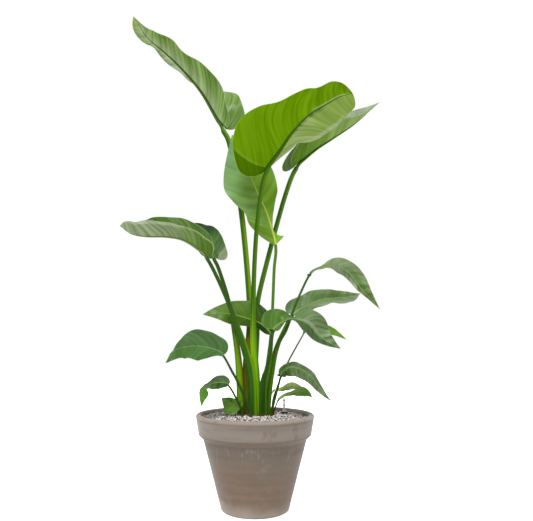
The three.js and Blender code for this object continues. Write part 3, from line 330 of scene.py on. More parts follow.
# The colours of each leaf as they show in daylight. `upper` and `under` hold those of a face: the left
# half at base and tip, then the right half. `low` is the stalk's sheath, with its left and right edges,
# `high` the stalk above it, and `midrib` the stalk under the blade. `under_inner` and `under_outer` are
# the colours beside the midrib and along the edge, with how much they show. `dry` is the share of the
# length from which the tip is dry.
DEEP_UPPER = [(70, 108, 52), (82, 124, 56), (70, 104, 48), (78, 118, 52)]
DEEP_UNDER = [(96, 128, 84), (112, 142, 96), (96, 128, 84), (112, 142, 96)]
PLAIN_UNDER = [(112, 144, 84), (124, 156, 92), (112, 144, 84), (124, 156, 92)]
SKINS = {
    "tall_left": dict(
        upper=[(112, 158, 62), (120, 164, 50), (106, 152, 40), (108, 156, 40)],
        under=[(118, 156, 64), (126, 154, 84), (160, 184, 124), (144, 170, 104)],
        vein=(184, 202, 150), pleats=0.95, rib=(52, 92, 8), low=(104, 104, 16), low_left=(106, 96, 20),
        low_right=(92, 112, 10), high=(62, 106, 14), high_right=(124, 166, 30), midrib=(62, 106, 20),
        under_inner=((176, 190, 150), 0.6), under_outer=((92, 142, 20), 0.8),
        under_patches=[
            patch((150, 178, 10), 0.9, LEFT, 0.95, BEYOND),
            patch((150, 178, 10), 0.8, RIGHT, 0.955, BEYOND, near=0.3, far=BEYOND),
            patch((204, 212, 178), 0.85, RIGHT, 0.33, 0.66, soft=0.06, veins="Pleat"),
            patch((56, 92, 14), 0.7, LEFT, BEFORE, 0.6, soft=0.1, far=0.06),
        ],
    ),
    "front_bright": dict(
        upper=[(104, 150, 40), (104, 150, 40), (104, 150, 40), (104, 150, 40)],
        under=[(144, 174, 82), (142, 172, 78), (102, 145, 2), (90, 128, 4)],
        vein=(120, 154, 40), rib=(62, 98, 14), margin=(150, 176, 70), pleats=0.45, under_shine=0.0,
        # The sheath's yellow left edge is a painted highlight, and its darker right edge is painted shade.
        low=(128, 184, 6), low_left=(190, 204, 40), low_right=(74, 134, 4), high=(54, 92, 10),
        high_right=(84, 126, 26), midrib=(58, 94, 16),
        under_patches=[
            patch((66, 100, 6), 0.7, RIGHT, BEFORE, 0.02, soft=0.008, slope=0.13),
            patch((150, 178, 60), 0.4, RIGHT, 0.018, 0.026, soft=0.005, slope=0.13),
            patch((56, 92, 8), 0.75, LEFT, BEFORE, 0.62, soft=0.08, far=0.1),
            patch((158, 184, 110), 0.8, RIGHT, 0.55, 0.93, soft=0.05, far=0.07),
            patch((190, 206, 150), 0.7, LEFT, 0.03, 0.5, soft=0.1, veins="Band"),
            patch((176, 196, 130), 0.35, LEFT, 0.5, 0.95, soft=0.1, veins="Band"),
            patch((190, 204, 160), 0.6, LEFT, 0.08, 0.75, soft=0.06, near=0.82, far=BEYOND),
        ],
    ),
    "right_folded": dict(
        upper=[(84, 116, 62), (182, 194, 164), (104, 136, 90), (182, 194, 160)],
        under=[(84, 116, 62), (196, 206, 180), (120, 164, 40), (156, 184, 104)],
        vein=(150, 172, 120), rib=(90, 130, 40), low=(88, 140, 24), high=(64, 108, 26),
        high_right=(92, 138, 46),
        upper_patches=[
            patch((78, 104, 52), 0.9, LEFT, BEFORE, 0.2, soft=0.05),
        ],
        under_patches=[
            patch((78, 104, 52), 0.9, LEFT, BEFORE, 0.2, soft=0.05),
            patch((86, 124, 24), 0.7, RIGHT, BEFORE, 0.3, soft=0.15),
            patch((186, 200, 156), 0.6, RIGHT, 0.2, 0.9, near=0.88, far=BEYOND),
            patch((150, 178, 20), 0.8, RIGHT, 0.96, BEYOND),
        ],
    ),
    "centre_upright": dict(
        upper=[(112, 150, 6), (134, 178, 112), (130, 178, 26), (130, 178, 46)],
        under=[(120, 152, 88), (132, 160, 100), (120, 152, 88), (132, 160, 100)],
        vein=(124, 164, 100), rib=(190, 202, 92), low=(92, 142, 30), high=(84, 132, 40),
    ),
    "left_front": dict(
        upper=[(78, 124, 14), (98, 138, 34), (78, 124, 10), (96, 134, 36)],
        under=[(110, 140, 62), (154, 170, 124), (100, 134, 40), (148, 164, 118)],
        vein=(168, 184, 148), rib=(120, 146, 70), midrib=(140, 160, 104), low=(54, 98, 8),
        low_left=(40, 80, 8), low_right=(122, 170, 10), high=(52, 86, 36),
        under_patches=[
            patch((84, 128, 10), 0.8, LEFT, BEFORE, 0.2, soft=0.14),
            patch((84, 128, 10), 0.8, RIGHT, BEFORE, 0.2, soft=0.14),
            patch((192, 204, 120), 0.7, LEFT, 0.02, 0.4, near=0.9, far=BEYOND),
            patch((210, 218, 194), 0.6, LEFT, 0.4, 1.2, soft=0.12, veins="Band"),
            patch((80, 120, 40), 0.5, LEFT, 0.3, 1.2, soft=0.1, veins="Pleat"),
            patch((206, 216, 180), 0.6, LEFT, 0.4, 0.9, soft=0.1, near=0.8, far=BEYOND),
        ],
    ),
    "left_back": dict(
        upper=DEEP_UPPER,
        under=DEEP_UNDER,
        vein=(100, 136, 84), rib=(96, 130, 80), low=(116, 166, 10), low_left=(76, 128, 6),
        low_right=(124, 120, 24), high=(54, 88, 34),
        upper_patches=[
            # A painted shadow, cast by left_front's blade, darkens the right half from its middle to the tip.
            patch((26, 50, 10), 0.9, RIGHT, 0.42, BEYOND, soft=0.12),
            patch((156, 170, 130), 0.8, RIGHT, BEFORE, 0.05, slope=0.12, near=0.4, far=BEYOND),
        ],
    ),
    "right_arching": dict(
        upper=[(114, 144, 100), (84, 120, 54), (130, 158, 116), (98, 132, 66)],
        under=[(164, 182, 142), (76, 108, 28), (160, 180, 136), (72, 104, 26)],
        vein=(164, 182, 140), rib=(146, 172, 108), midrib=(138, 164, 104), low=(76, 120, 28),
        high=(58, 96, 38),
        under_patches=[
            patch((196, 210, 180), 0.5, LEFT, 0.1, 0.8, soft=0.1, veins="Band"),
            patch((70, 112, 34), 0.5, LEFT, 0.5, 1.2, soft=0.15, far=0.45),
            patch((70, 112, 34), 0.5, RIGHT, 0.5, 1.2, soft=0.15, far=0.45),
        ],
    ),
    "right_level": dict(
        upper=[(100, 128, 74), (112, 140, 80), (120, 144, 98), (132, 154, 106)],
        under=PLAIN_UNDER,
        vein=(118, 148, 104), rib=(134, 166, 86), low=(66, 126, 8), low_left=(124, 146, 48),
        low_right=(44, 88, 4), high=(66, 104, 40),
        upper_patches=[
            patch((154, 172, 136), 0.5, RIGHT, 0.3, 1.0, soft=0.1, near=0.6, far=BEYOND),
            patch((66, 104, 40), 0.4, LEFT, 0.4, 1.2, soft=0.2, far=0.5),
        ],
    ),
    "right_twisted": dict(
        upper=[(86, 128, 40), (88, 112, 66), (88, 126, 42), (80, 102, 58)],
        under=[(78, 114, 56), (100, 132, 86), (78, 114, 56), (100, 132, 86)],
        vein=(116, 142, 108), rib=(128, 156, 100), low=(38, 74, 4), low_left=(56, 104, 10),
        low_right=(78, 116, 20), high=(62, 96, 46), dry=0.985,
        upper_patches=[
            # The dark patches along the pleats are painted shade, and the pale ones near the midrib and along
            # the bands are painted highlights.
            patch((50, 82, 42), 0.7, RIGHT, 0.35, 1.2, soft=0.15, veins="Pleat"),
            patch((50, 82, 42), 0.5, LEFT, 0.5, 1.2, soft=0.15, veins="Pleat"),
            patch((166, 180, 154), 0.55, RIGHT, 0.3, 0.7, soft=0.12, far=0.25),
            patch((150, 170, 130), 0.5, LEFT, 0.3, 0.9, soft=0.1, veins="Band"),
        ],
    ),
    "right_hidden": dict(
        upper=[(104, 146, 50), (104, 150, 44), (96, 140, 44), (104, 150, 44)],
        under=PLAIN_UNDER,
        vein=(126, 164, 70), rib=(150, 180, 80), low=(60, 92, 50), high=(66, 92, 62),
    ),
    "centre_left": dict(
        upper=[(62, 94, 26), (82, 116, 32), (64, 98, 22), (92, 130, 28)],
        under=PLAIN_UNDER,
        vein=(96, 136, 60), rib=(136, 172, 72), low=(66, 104, 36), high=(60, 94, 44),
        upper_patches=[
            # Painted shadow of the stalks in front darkens both halves near the base.
            patch((34, 60, 20), 0.75, LEFT, 0.05, 0.3, soft=0.08),
            patch((34, 60, 20), 0.6, RIGHT, 0.05, 0.3, soft=0.08),
        ],
    ),
    "lower_left": dict(
        upper=[(84, 122, 62), (76, 112, 46), (78, 110, 60), (72, 104, 50)],
        under=DEEP_UNDER,
        vein=(96, 134, 96), rib=(116, 150, 96), low=(48, 84, 40), high=(50, 86, 44), dry=0.985,
    ),
    "small_left": dict(
        upper=[(56, 84, 40), (84, 140, 10), (88, 112, 70), (92, 144, 10)],
        under=[(80, 112, 66), (92, 144, 24), (80, 112, 66), (92, 144, 24)],
        vein=(120, 146, 108), rib=(120, 150, 84), low=(46, 84, 34), high=(50, 88, 38),
    ),
    "lower_right": dict(
        upper=[(74, 100, 44), (94, 116, 70), (74, 100, 44), (92, 112, 68)],
        under=[(70, 108, 48), (78, 112, 64), (70, 108, 48), (78, 112, 64)],
        vein=(98, 124, 96), rib=(110, 140, 92), low=(44, 80, 28), high=(52, 88, 36), dry=0.985,
        upper_patches=[
            patch((140, 158, 122), 0.45, LEFT, 0.2, 0.9, soft=0.1, far=0.3),
            patch((50, 84, 28), 0.5, RIGHT, BEFORE, 0.5, soft=0.2, near=0.3, far=BEYOND),
            patch((140, 158, 116), 0.4, RIGHT, 0.3, 0.9, soft=0.1, veins="Band"),
        ],
    ),
    "small_right_upper": dict(
        upper=[(190, 220, 124), (200, 224, 144), (184, 214, 102), (192, 220, 126)],
        under=PLAIN_UNDER,
        vein=(156, 178, 116), rib=(140, 170, 90), low=(48, 74, 36), high=(70, 104, 40),
    ),
    "small_right_lower": dict(
        upper=[(156, 186, 124), (124, 176, 56), (130, 176, 70), (128, 176, 60)],
        under=PLAIN_UNDER,
        vein=(128, 154, 104), rib=(120, 150, 80), low=(92, 60, 40), high=(84, 122, 40), dry=0.975,
    ),
    "ground_left": dict(
        upper=[(128, 174, 74), (116, 164, 64), (118, 166, 70), (110, 158, 64)],
        under=PLAIN_UNDER,
        vein=(112, 154, 70), rib=(130, 166, 80), low=(48, 84, 34), high=(70, 110, 40),
        upper_patches=[
            patch((50, 84, 20), 0.5, RIGHT, 0.1, 1.2, veins="Band"),
        ],
    ),
}

STALK_SLOTS = dict(brown_stalk=["tall_left"], bright_stalk=["front_bright", "centre_upright"])
BLADE_SLOTS = dict(
    bright_blade=["front_bright"],
    pale_blade=["tall_left", "right_folded", "left_front", "right_arching"],
    deep_blade=["left_back", "right_twisted", "lower_left", "small_left", "lower_right", "small_right_lower"],
)

# ---- Small helpers -------------------------------------------------------------------------------


def mix(first, second, share):
    return first + (second - first) * share


def smooth(value, low=0.0, high=1.0):
    share = min(1.0, max(0.0, (value - low) / (high - low)))
    return share * share * (3 - 2 * share)


def through(points):
    """The curve through a list of points or numbers, told by how far along the list a place lies, 0 to 1."""
    points = [Vector(p) if isinstance(p, tuple) else float(p) for p in points]
    last = len(points) - 1

    def at(share):
        place = min(1.0, max(0.0, share)) * last
        k = min(int(place), last - 1)
        x = place - k
        start, end = points[k], points[k + 1]
        before = points[k - 1] if k > 0 else start * 2 - end
        after = points[k + 2] if k + 2 <= last else end * 2 - start
        leave = (end - before) * 0.5
        arrive = (after - start) * 0.5
        cubic = (start - end) * 2 + leave + arrive
        square = (end - start) * 3 - leave * 2 - arrive
        return cubic * x**3 + square * x**2 + leave * x + start

    return at


def slot_of(slots, name, usual):
    return next((slot for slot, names in slots.items() if name in names), usual)


def piece(name, bm, materials, slot, replaced=(), flat=False):
    """The mesh as an object of the plant that rides on its body and stands for CAD nodes."""
    mesh = bpy.data.meshes.new(name)
    for face in bm.faces:
        face.smooth = not flat
    bm.to_mesh(mesh)
    bm.free()
    made = bpy.data.objects.new(name, mesh)
    bpy.context.scene.collection.objects.link(made)
    for material in materials:
        mesh.materials.append(material)
    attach(made, BODY)
    if replaced:
        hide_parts(*replaced)
    return made


# ---- The form of a leaf --------------------------------------------------------------------------

BASE_SHARE = 0.12  # of the blade's length, over which its base widens
BASE_ROUND = 0.7  # the lower, the rounder the base
TAPER_FROM = 0.6  # share of the length from which the blade narrows to its tip
LOBE_SHARE = 0.2  # of the length, over which the base is swept back
TANGENT_REACH = 0.004  # to each side of a place on the centre line, to tell its direction
STEEPEST_FOLD = 0.45  # the least that a half still faces the way that the whole blade does
RIB_THIN_FROM = 0.7  # share of the length from which the midrib thins faster
RIB_END = 0.86
RIB_TIP_RADIUS = 0.8
RIB_TAPER = 0.35  # the lower, the sooner the midrib thins
RIB_SHARE = 0.7  # of the offset between midrib and blade, taken up by the midrib
RIB_LEVEL = 0.15  # share of the length over which it does so


def outline(s, blunt, base):
    """The width of a half at a share s of the length, as a share of its full width."""
    if s < base:
        return (1 - (1 - s / base) ** 2) ** BASE_ROUND
    if s > TAPER_FROM:
        return 1 - ((s - TAPER_FROM) / (1 - TAPER_FROM)) ** blunt
    return 1.0


class Half:
    """One half of a blade: which way it spreads from the midrib, and how wide."""

    def __init__(self, leaf, side):
        self.left = side == "left"
        self.spread = through(leaf[side + "_spread"])
        self.width = through(leaf[side + "_width"])
        self.base = leaf.get(side + "_base", BASE_SHARE)
        self.lobe = leaf.get(side + "_lobe", leaf["lobe"])
        self.lobe_share = leaf.get(side + "_lobe_share", LOBE_SHARE)
        self.blunt = leaf["blunt"]

    def at(self, s, t):
        out = self.spread(s)
        out = (out - t * out.dot(t)).normalized()
        up = t.cross(out) if self.left else out.cross(t)
        share = outline(s, self.blunt, self.base)
        return out, up, max(0.0, self.width(s)) * share, share


class Form:
    """The centre line of a leaf, from the granules to its tip, and the blade's lie along it."""

    def __init__(self, leaf):
        self.leaf = leaf
        points = leaf["stalk"] + leaf["midrib"]
        self.centre = through(points)
        self.stalk_share = (len(leaf["stalk"]) - 1) / (len(points) - 1)
        self.halves = [Half(leaf, "left"), Half(leaf, "right")]
        self.neck = leaf["stalk_width"][-1]

    def tangent(self, t):
        return (self.centre(t + TANGENT_REACH) - self.centre(t - TANGENT_REACH)).normalized()

    def rib_radius(self, s):
        return mix(self.neck, RIB_TIP_RADIUS, min(1.0, s / RIB_END) ** RIB_TAPER)

    def row(self, s):
        """What a row across the blade needs, at a share s of the blade's length."""
        t_at = mix(self.stalk_share, 1, s)
        t = self.tangent(t_at)
        left, right = [half.at(s, t) for half in self.halves]
        up = (left[1] + right[1]).normalized()
        lean = max(STEEPEST_FOLD, up.dot(left[1]))
        half = BLADE_THICKNESS / 2
        # Halves that droop past the midrib need more room than halves that fold up from it.
        if left[0].dot(up) < 0:
            rise = (self.rib_radius(s) + GAP + half) / lean
        else:
            rise = self.rib_radius(s) + GAP + half / lean
        rib = self.centre(t_at) - up * rise * RIB_SHARE * smooth(s, 0, RIB_LEVEL)
        return dict(t=t, sides=(left, right), up=up, rib=rib, middle=rib + up * rise)


# ---- Blades --------------------------------------------------------------------------------------

BLADE_MARKS = ("along", "side", "rib_distance", "edge_distance", "vein")
VEIN_SLANT = 0.45  # how far a side vein runs towards the tip for each millimetre that it runs out
VEIN_BEND = 0.35
RIDGE_HEIGHT = 0.7  # of the midrib on the blade's upper face
RIDGE_WIDTH = 2.2
RIGHT_WAVE_SHIFT = 0.4  # of the right edge's waves against the left edge's
FRILL = 0.6  # height of the small waves
FRILL_WAVES = ((31, 1, 1), (53, 2.1, 0.6))  # how close they stand, how they are shifted and their share
RIGHT_FRILL_SHIFT = 2.3  # in the same way
GRID = (80, 36)  # rows along a blade and columns across it
BIG_GRID = (110, 52)
LENGTH_STEPS = 40
MERGED = 1e-6  # metres within which points are one
ON_MIDRIB = 1e-4  # share of a half's width within which a point is on the midrib


def length_of(form):
    places = [form.centre(mix(form.stalk_share, 1, k / LENGTH_STEPS)) for k in range(LENGTH_STEPS + 1)]
    return sum((b - a).length for a, b in zip(places, places[1:]))


def edge_frill(leaf, left, s, r):
    """The small uneven waves that the CAD blade is too coarse to hold."""
    shift = len(leaf["name"]) + (0 if left else RIGHT_FRILL_SHIFT)
    wave = sum(share * math.sin(close * s + shifted * shift) for close, shifted, share in FRILL_WAVES)
    return FRILL * wave * r**3


def blade_point(form, row, half, place, s, r):
    """The point of the upper face at shares s of the length and r of the half's width, and its distances."""
    leaf = form.leaf
    out, up, width, share = row["sides"][place]
    sweep = half.lobe * max(0.0, 1 - s / half.lobe_share) ** 2 + leaf["point"] * s * s
    wave_height, waves = leaf["wave"]
    ripple = wave_height * math.sin(2 * math.pi * (waves * s + (0 if half.left else RIGHT_WAVE_SHIFT)))
    lift = width * leaf["cup"] * r * r + ripple * r * r * share + edge_frill(leaf, half.left, s, r) * share
    lift_up = up if r > 0 else row["up"]
    x = r * width
    ridge = RIDGE_HEIGHT * math.exp(-((x / RIDGE_WIDTH) ** 2)) * (1 - s)
    point = row["middle"] + out * x + row["t"] * x * sweep + lift_up * lift + row["up"] * ridge
    return point, x, width, x * sweep


def blade(leaf, materials, slot):
    form = Form(leaf)
    rows, columns = BIG_GRID if leaf["big"] else GRID
    length = length_of(form)
    bm = bmesh.new()
    bmesh.ops.create_grid(bm, x_segments=columns, y_segments=rows, size=1)
    marks = {name: bm.verts.layers.float.new(name) for name in BLADE_MARKS}
    known = {}
    for vert in bm.verts:
        across, s = vert.co.x, (vert.co.y + 1) / 2
        k = round(s * rows)
        if k not in known:
            known[k] = form.row(s)
        place = LEFT if across < 0 else RIGHT
        half = form.halves[place]
        r = abs(across) if abs(across) > ON_MIDRIB else 0.0
        point, x, width, swept = blade_point(form, known[k], half, place, s, r)
        vert.co = point * MM
        vert[marks["along"]] = s
        vert[marks["side"]] = 0.5 if r == 0 else float(place)
        vert[marks["rib_distance"]] = x * MM
        vert[marks["edge_distance"]] = (width - x) * MM
        vert[marks["vein"]] = (s * length + swept - VEIN_SLANT * x - VEIN_BEND * x * r) * MM
    bmesh.ops.dissolve_degenerate(bm, edges=bm.edges, dist=MERGED)
    for edge in bm.edges:
        edge.smooth = not edge.is_boundary
    made = piece("leaf_" + leaf["name"], bm, materials, slot, ["blade_" + leaf["name"]])
    skin = made.modifiers.new("thickness", "SOLIDIFY")
    skin.thickness = BLADE_SKIN * MM
    skin.offset = 0
    skin.material_offset = 1


# ---- Stalks --------------------------------------------------------------------------------------

STALK_MARKS = ("across", "deep", "climb")
STALK_SIDES = 28
STALK_ROWS = 48
RIB_ROWS = 60
FOOT_DEPTH = (3, 0.2)  # half the depth of a stalk's foot: what it always has, and the share of its half width
NARROWING = 1.1  # how soon a stalk has narrowed to its neck
RIB_PROUD = 0.75  # share of its radius that the midrib's centre lies below the blade
RIB_GROWN_IN = 0.08  # share of the blade's length over which the midrib joins it


def foot_depth(half_width):
    return min(half_width, FOOT_DEPTH[0] + half_width * FOOT_DEPTH[1])


def stalk_sections(form):
    """Centre, direction, half width and half depth of each section, from the root end to the midrib's tip."""
    widths = form.leaf["stalk_width"]
    foot_width, neck = widths[0], widths[-1]
    depth_below = foot_depth(foot_width)
    told = through(widths) if len(widths) > 2 else None
    foot = form.centre(0)
    sections = [(Vector((foot.x, foot.y, ROOT_END)), Vector((0, 0, 1)), foot_width, depth_below)]
    for k in range(STALK_ROWS + 1):
        t = k / STALK_ROWS * form.stalk_share
        share = min(1.0, math.sqrt(k / STALK_ROWS) * NARROWING)
        width = told(k / STALK_ROWS) if told else mix(foot_width, neck, share)
        depth = min(width, mix(depth_below, neck, share))
        sections.append((form.centre(t), form.tangent(t), width, depth))
    for k in range(1, RIB_ROWS + 1):
        s = k / RIB_ROWS * RIB_END
        row = form.row(s)
        thinned = 1 if s < RIB_THIN_FROM else mix(1, 0.5, smooth(s, RIB_THIN_FROM, RIB_END))
        radius = form.rib_radius(s) * thinned
        grown_in = row["middle"] - row["up"] * radius * RIB_PROUD
        sections.append((row["rib"].lerp(grown_in, smooth(s, 0, RIB_GROWN_IN)), row["t"], radius, radius))
    return sections


def swell(bm, form, share, aside, size):
    """Adds the small lump where the blade begins."""
    middle = form.centre(share * form.stalk_share) + Vector(aside)
    place = Matrix.Translation(middle * MM) @ Matrix.Diagonal((*[part * MM for part in size], 1))
    bmesh.ops.create_icosphere(bm, subdivisions=3, radius=1, matrix=place)


def stalk(leaf, material, slot):
    form = Form(leaf)
    sections = stalk_sections(form)
    rows = len(sections) - 1
    bm = bmesh.new()
    bmesh.ops.create_grid(bm, x_segments=STALK_SIDES, y_segments=rows, size=1)
    marks = {name: bm.verts.layers.float.new(name) for name in STALK_MARKS}
    for vert in bm.verts:
        angle = (vert.co.x + 1) * math.pi
        k = round((vert.co.y + 1) / 2 * rows)
        middle, t, half_width, half_depth = sections[k]
        across = Vector((0, 1, 0)).cross(t).normalized()
        deep = t.cross(across).normalized()
        place = middle + across * half_width * math.cos(angle) + deep * half_depth * math.sin(angle)
        vert.co = place * MM
        vert[marks["across"]] = math.cos(angle)
        vert[marks["deep"]] = math.sin(angle)
        vert[marks["climb"]] = k / rows
    bmesh.ops.remove_doubles(bm, verts=bm.verts, dist=MERGED)
    bmesh.ops.holes_fill(bm, edges=bm.edges, sides=0)
    bmesh.ops.recalc_face_normals(bm, faces=bm.faces)
    if leaf["name"] in NUBS:
        swell(bm, form, *NUBS[leaf["name"]])
    piece("stem_" + leaf["name"], bm, [material], slot, ["stalk_" + leaf["name"]])


# ---- Turned pieces -------------------------------------------------------------------------------


def turned(profile, steps, centre=(0, 0)):
    """A closed profile of (radius, height) turned about a vertical axis."""
    bm = bmesh.new()
    verts = [bm.verts.new((radius * MM, 0, height * MM)) for radius, height in profile]
    edges = [bm.edges.new(pair) for pair in zip(verts, verts[1:])]
    around = dict(cent=(0, 0, 0), axis=(0, 0, 1), angle=2 * math.pi)
    bmesh.ops.spin(bm, geom=verts + edges, steps=steps, use_merge=True, **around)
    bmesh.ops.remove_doubles(bm, verts=bm.verts, dist=MERGED)
    bmesh.ops.recalc_face_normals(bm, faces=bm.faces)
    bmesh.ops.translate(bm, verts=bm.verts, vec=(centre[0] * MM, centre[1] * MM, 0))
    return bm


def arc(radius, height, bend, start, end, steps):
    """Points of an arc about (radius, height), from one angle to another, in degrees."""
    angles = [math.radians(mix(start, end, k / steps)) for k in range(steps + 1)]
    return [(radius + bend * math.cos(a), height + bend * math.sin(a)) for a in angles]


def straight(start, end, steps):
    """Points between two places, without either."""
    return [tuple(mix(a, b, k / steps) for a, b in zip(start, end)) for k in range(1, steps)]


def beside(place, moves):
    return [(place[0] + out, place[1] + up) for out, up in moves]


def inner_radius_at(z):
    share = (z - POT["floor"]) / (POT["height"] - POT["inner_round"] - POT["floor"])
    return mix(POT["inner_floor_radius"], POT["inner_rim_radius"], share)


def clay_pot(material):
    foot_round, lip_round, inner_round = POT["foot_round"], POT["lip_round"], POT["inner_round"]
    foot = (POT["foot_radius"], foot_round)
    neck = (POT["neck_radius"], POT["neck"])
    band_low = (POT["band_bottom_radius"], POT["band_bottom"] + BAND_EDGE_HEIGHT)
    lip = (POT["rim_radius"], POT["height"] - lip_round)
    mouth = (POT["inner_rim_radius"], POT["height"] - inner_round)
    floor_edge = POT["floor"] + POT["floor_round"]
    well = (inner_radius_at(floor_edge), floor_edge)
    profile = [(0, 0), (POT["foot_radius"] - foot_round, 0)]
    profile += arc(foot[0] - foot_round, foot[1], foot_round, -70, 0, 5)
    profile += straight(foot, neck, 12) + beside(neck, NECK_EDGE) + beside(band_low, BAND_EDGE)
    profile += straight(band_low, lip, 6) + arc(lip[0] - lip_round, lip[1], lip_round, 0, 90, 8)
    profile += arc(mouth[0] + inner_round, mouth[1], inner_round, 90, 180, 6) + straight(mouth, well, 10)
    profile += [well, (POT["inner_floor_radius"] - POT["floor_round"], POT["floor"]), (0, POT["floor"])]
    piece("clay_pot", turned(profile, POT["steps"]), [material], "clay", ["pot"])


# ---- The water level gauge -----------------------------------------------------------------------


def shaft_profile(floor):
    foot, shaft, bore = GAUGE["foot"], GAUGE["shaft_radius"], GAUGE["shaft_bore"]
    collar, bottom, top = GAUGE["collar_radius"], GAUGE["collar_bottom"], GAUGE["collar_top"]
    outside = [(0, foot), (shaft, foot), (shaft, bottom), (collar - 0.6, bottom), (collar, bottom + 0.6)]
    return outside + [(collar, top - 1), (collar - 1, top), (bore, top), (bore, floor), (0, floor)]


def float_profile(low):
    radius, rod, top = GAUGE["float_radius"], GAUGE["rod_radius"], GAUGE["rod_top"]
    high = low + GAUGE["float_height"]
    body = [(0, low), (radius - 1, low), (radius, low + 1), (radius, high - 1), (radius - 1, high)]
    return body + [(rod, high), (rod, top - 0.8), (rod - 0.8, top), (0, top)]


def tube_profile():
    bottom = GAUGE["collar_top"] + GAP
    foot, foot_top = GAUGE["dome_foot_radius"], bottom + GAUGE["dome_foot_height"]
    bore, radius, top, bend = GAUGE["dome_bore"], GAUGE["dome_radius"], GAUGE["dome_top"], GAUGE["dome_round"]
    cap = top - GAUGE["dome_cap"]
    flare = [(bore, bottom), (foot, bottom), (foot, bottom + 1), (foot - 1.6, bottom + 1.9)]
    flare += [(radius + 1.1, foot_top - 1.6), (radius, foot_top)]
    flare += arc(radius - bend, top - bend, bend, 0, 90, 5)
    return flare + [(0, top), (0, cap), (bore, cap), (bore, bottom)]


def gauge(dark, red, clear, yellow):
    centre = (GAUGE["x"], GAUGE["y"])

    def part(name, profile, material, slot, *more, **how):
        piece(name, turned(profile, GAUGE["steps"], centre), [material], slot, *more, **how)

    floor = GAUGE["foot"] + GAUGE["shaft_floor"]
    part("level_shaft", shaft_profile(floor), dark, "dark_plastic", ["gauge_shaft"], flat=True)
    part("level_float", float_profile(floor + GAP), red, "red_plastic", ["gauge_float"])
    part("level_tube", tube_profile(), clear, "clear_plastic", ["gauge_dome"])
    for k, height in enumerate(GAUGE["marks"]):
        near, far = GAUGE["dome_radius"] + GAUGE["mark_inside"], GAUGE["dome_radius"] + GAUGE["mark_outside"]
        low, high = height - GAUGE["mark_half"], height + GAUGE["mark_half"]
        ring = [(near, low), (far, low), (far, high), (near, high), (near, low)]
        part("level_mark_%d" % (k + 1), ring, yellow, "clear_plastic")


# ---- Granules ------------------------------------------------------------------------------------


def fill_height(radius):
    edge = inner_radius_at(FILL["edge"])
    return mix(FILL["crown"], FILL["edge"], smooth(radius, FILL["crown_radius"], edge))


def taken(x, y):
    """True where a stalk or the gauge stands."""
    if math.hypot(x - GAUGE["x"], y - GAUGE["y"]) < GAUGE["collar_radius"] + STONES["clear_of_gauge"]:
        return True
    clear = STONES["clear_of_stalk"]
    for leaf in LEAVES:
        foot = leaf["stalk"][0]
        half_width = leaf["stalk_width"][0]
        half_depth = foot_depth(half_width)
        if ((x - foot[0]) / (half_width + clear)) ** 2 + ((y - foot[1]) / (half_depth + clear)) ** 2 < 1:
            return True
    return False


def stone_places(draw):
    """Where the loose stones lie: (x, y, radius), the closest pairs still just apart."""
    reach = inner_radius_at(FILL["edge"]) - STONES["clear_of_wall"]
    cell = 2 * STONES["radius"][1]
    grid = {}
    places = []
    for _ in range(STONES["count"] * STONES["tries"]):
        angle = draw.uniform(0, 2 * math.pi)
        distance = reach * math.sqrt(draw.random())
        x, y = distance * math.cos(angle), distance * math.sin(angle)
        radius = mix(*STONES["radius"], draw.random() ** STONES["small_ones"])
        column, line = int(x // cell), int(y // cell)
        around = [(column + i, line + j) for i in (-1, 0, 1) for j in (-1, 0, 1)]
        near = [p for home in around for p in grid.get(home, ())]
        close = any(math.hypot(x - p[0], y - p[1]) < STONES["closeness"] * (radius + p[2]) for p in near)
        if close or taken(x, y):
            continue
        grid.setdefault((column, line), []).append((x, y, radius))
        places.append((x, y, radius))
        if len(places) >= STONES["count"]:
            break
    return places


def stone(bm, draw, x, y, radius):
    """Adds a dented lump that lies on the fill, turned and tilted by chance."""
    size = Vector([draw.uniform(*span) for span in STONES["stretch"]]) * radius * MM
    height = fill_height(math.hypot(x, y)) + draw.uniform(*STONES["lift"])
    turn = Matrix.Rotation(draw.uniform(0, 2 * math.pi), 4, "Z")
    tilt = Matrix.Rotation(draw.uniform(-STONES["tilt"], STONES["tilt"]), 4, "X")
    place = Matrix.Translation(Vector((x, y, height)) * MM) @ (turn @ tilt) @ Matrix.Diagonal((*size, 1))
    made = bmesh.ops.create_icosphere(bm, subdivisions=1, radius=1, matrix=place)
    dent = STONES["dent"]
    for vert in made["verts"]:
        vert.co += Vector([draw.uniform(-dent, dent) * radius * MM for _ in range(3)])


def stones(kinds):
    """The granules on top, sorted by colour into a piece each. `kinds` holds (name, share, material)."""
    draw = random.Random(STONES["seed"])
    meshes = {name: bmesh.new() for name, _, _ in kinds}
    for x, y, radius in stone_places(draw):
        pick = draw.random()
        for name, share, _ in kinds:
            pick -= share
            if pick <= 0:
                break
        stone(meshes[name], draw, x, y, radius)
    for name, _, material in kinds:
        piece("stones_" + name, meshes[name], [material], "granules", flat=True)


# ---- Shader nodes --------------------------------------------------------------------------------

LIGHT_LEVEL = 1.28  # how bright the studio light makes a plain white surface
HAZE = 0.012  # what the reflection of the white studio adds to every colour


def paint(red, green, blue):
    """The base colour that comes out as this display colour under the studio light."""
    parts = [c / 255 for c in (red, green, blue)]
    linear = [c / 12.92 if c <= 0.04045 else ((c + 0.055) / 1.055) ** 2.4 for c in parts]
    return (*[max(0.0, c - HAZE) / LIGHT_LEVEL for c in linear], 1)


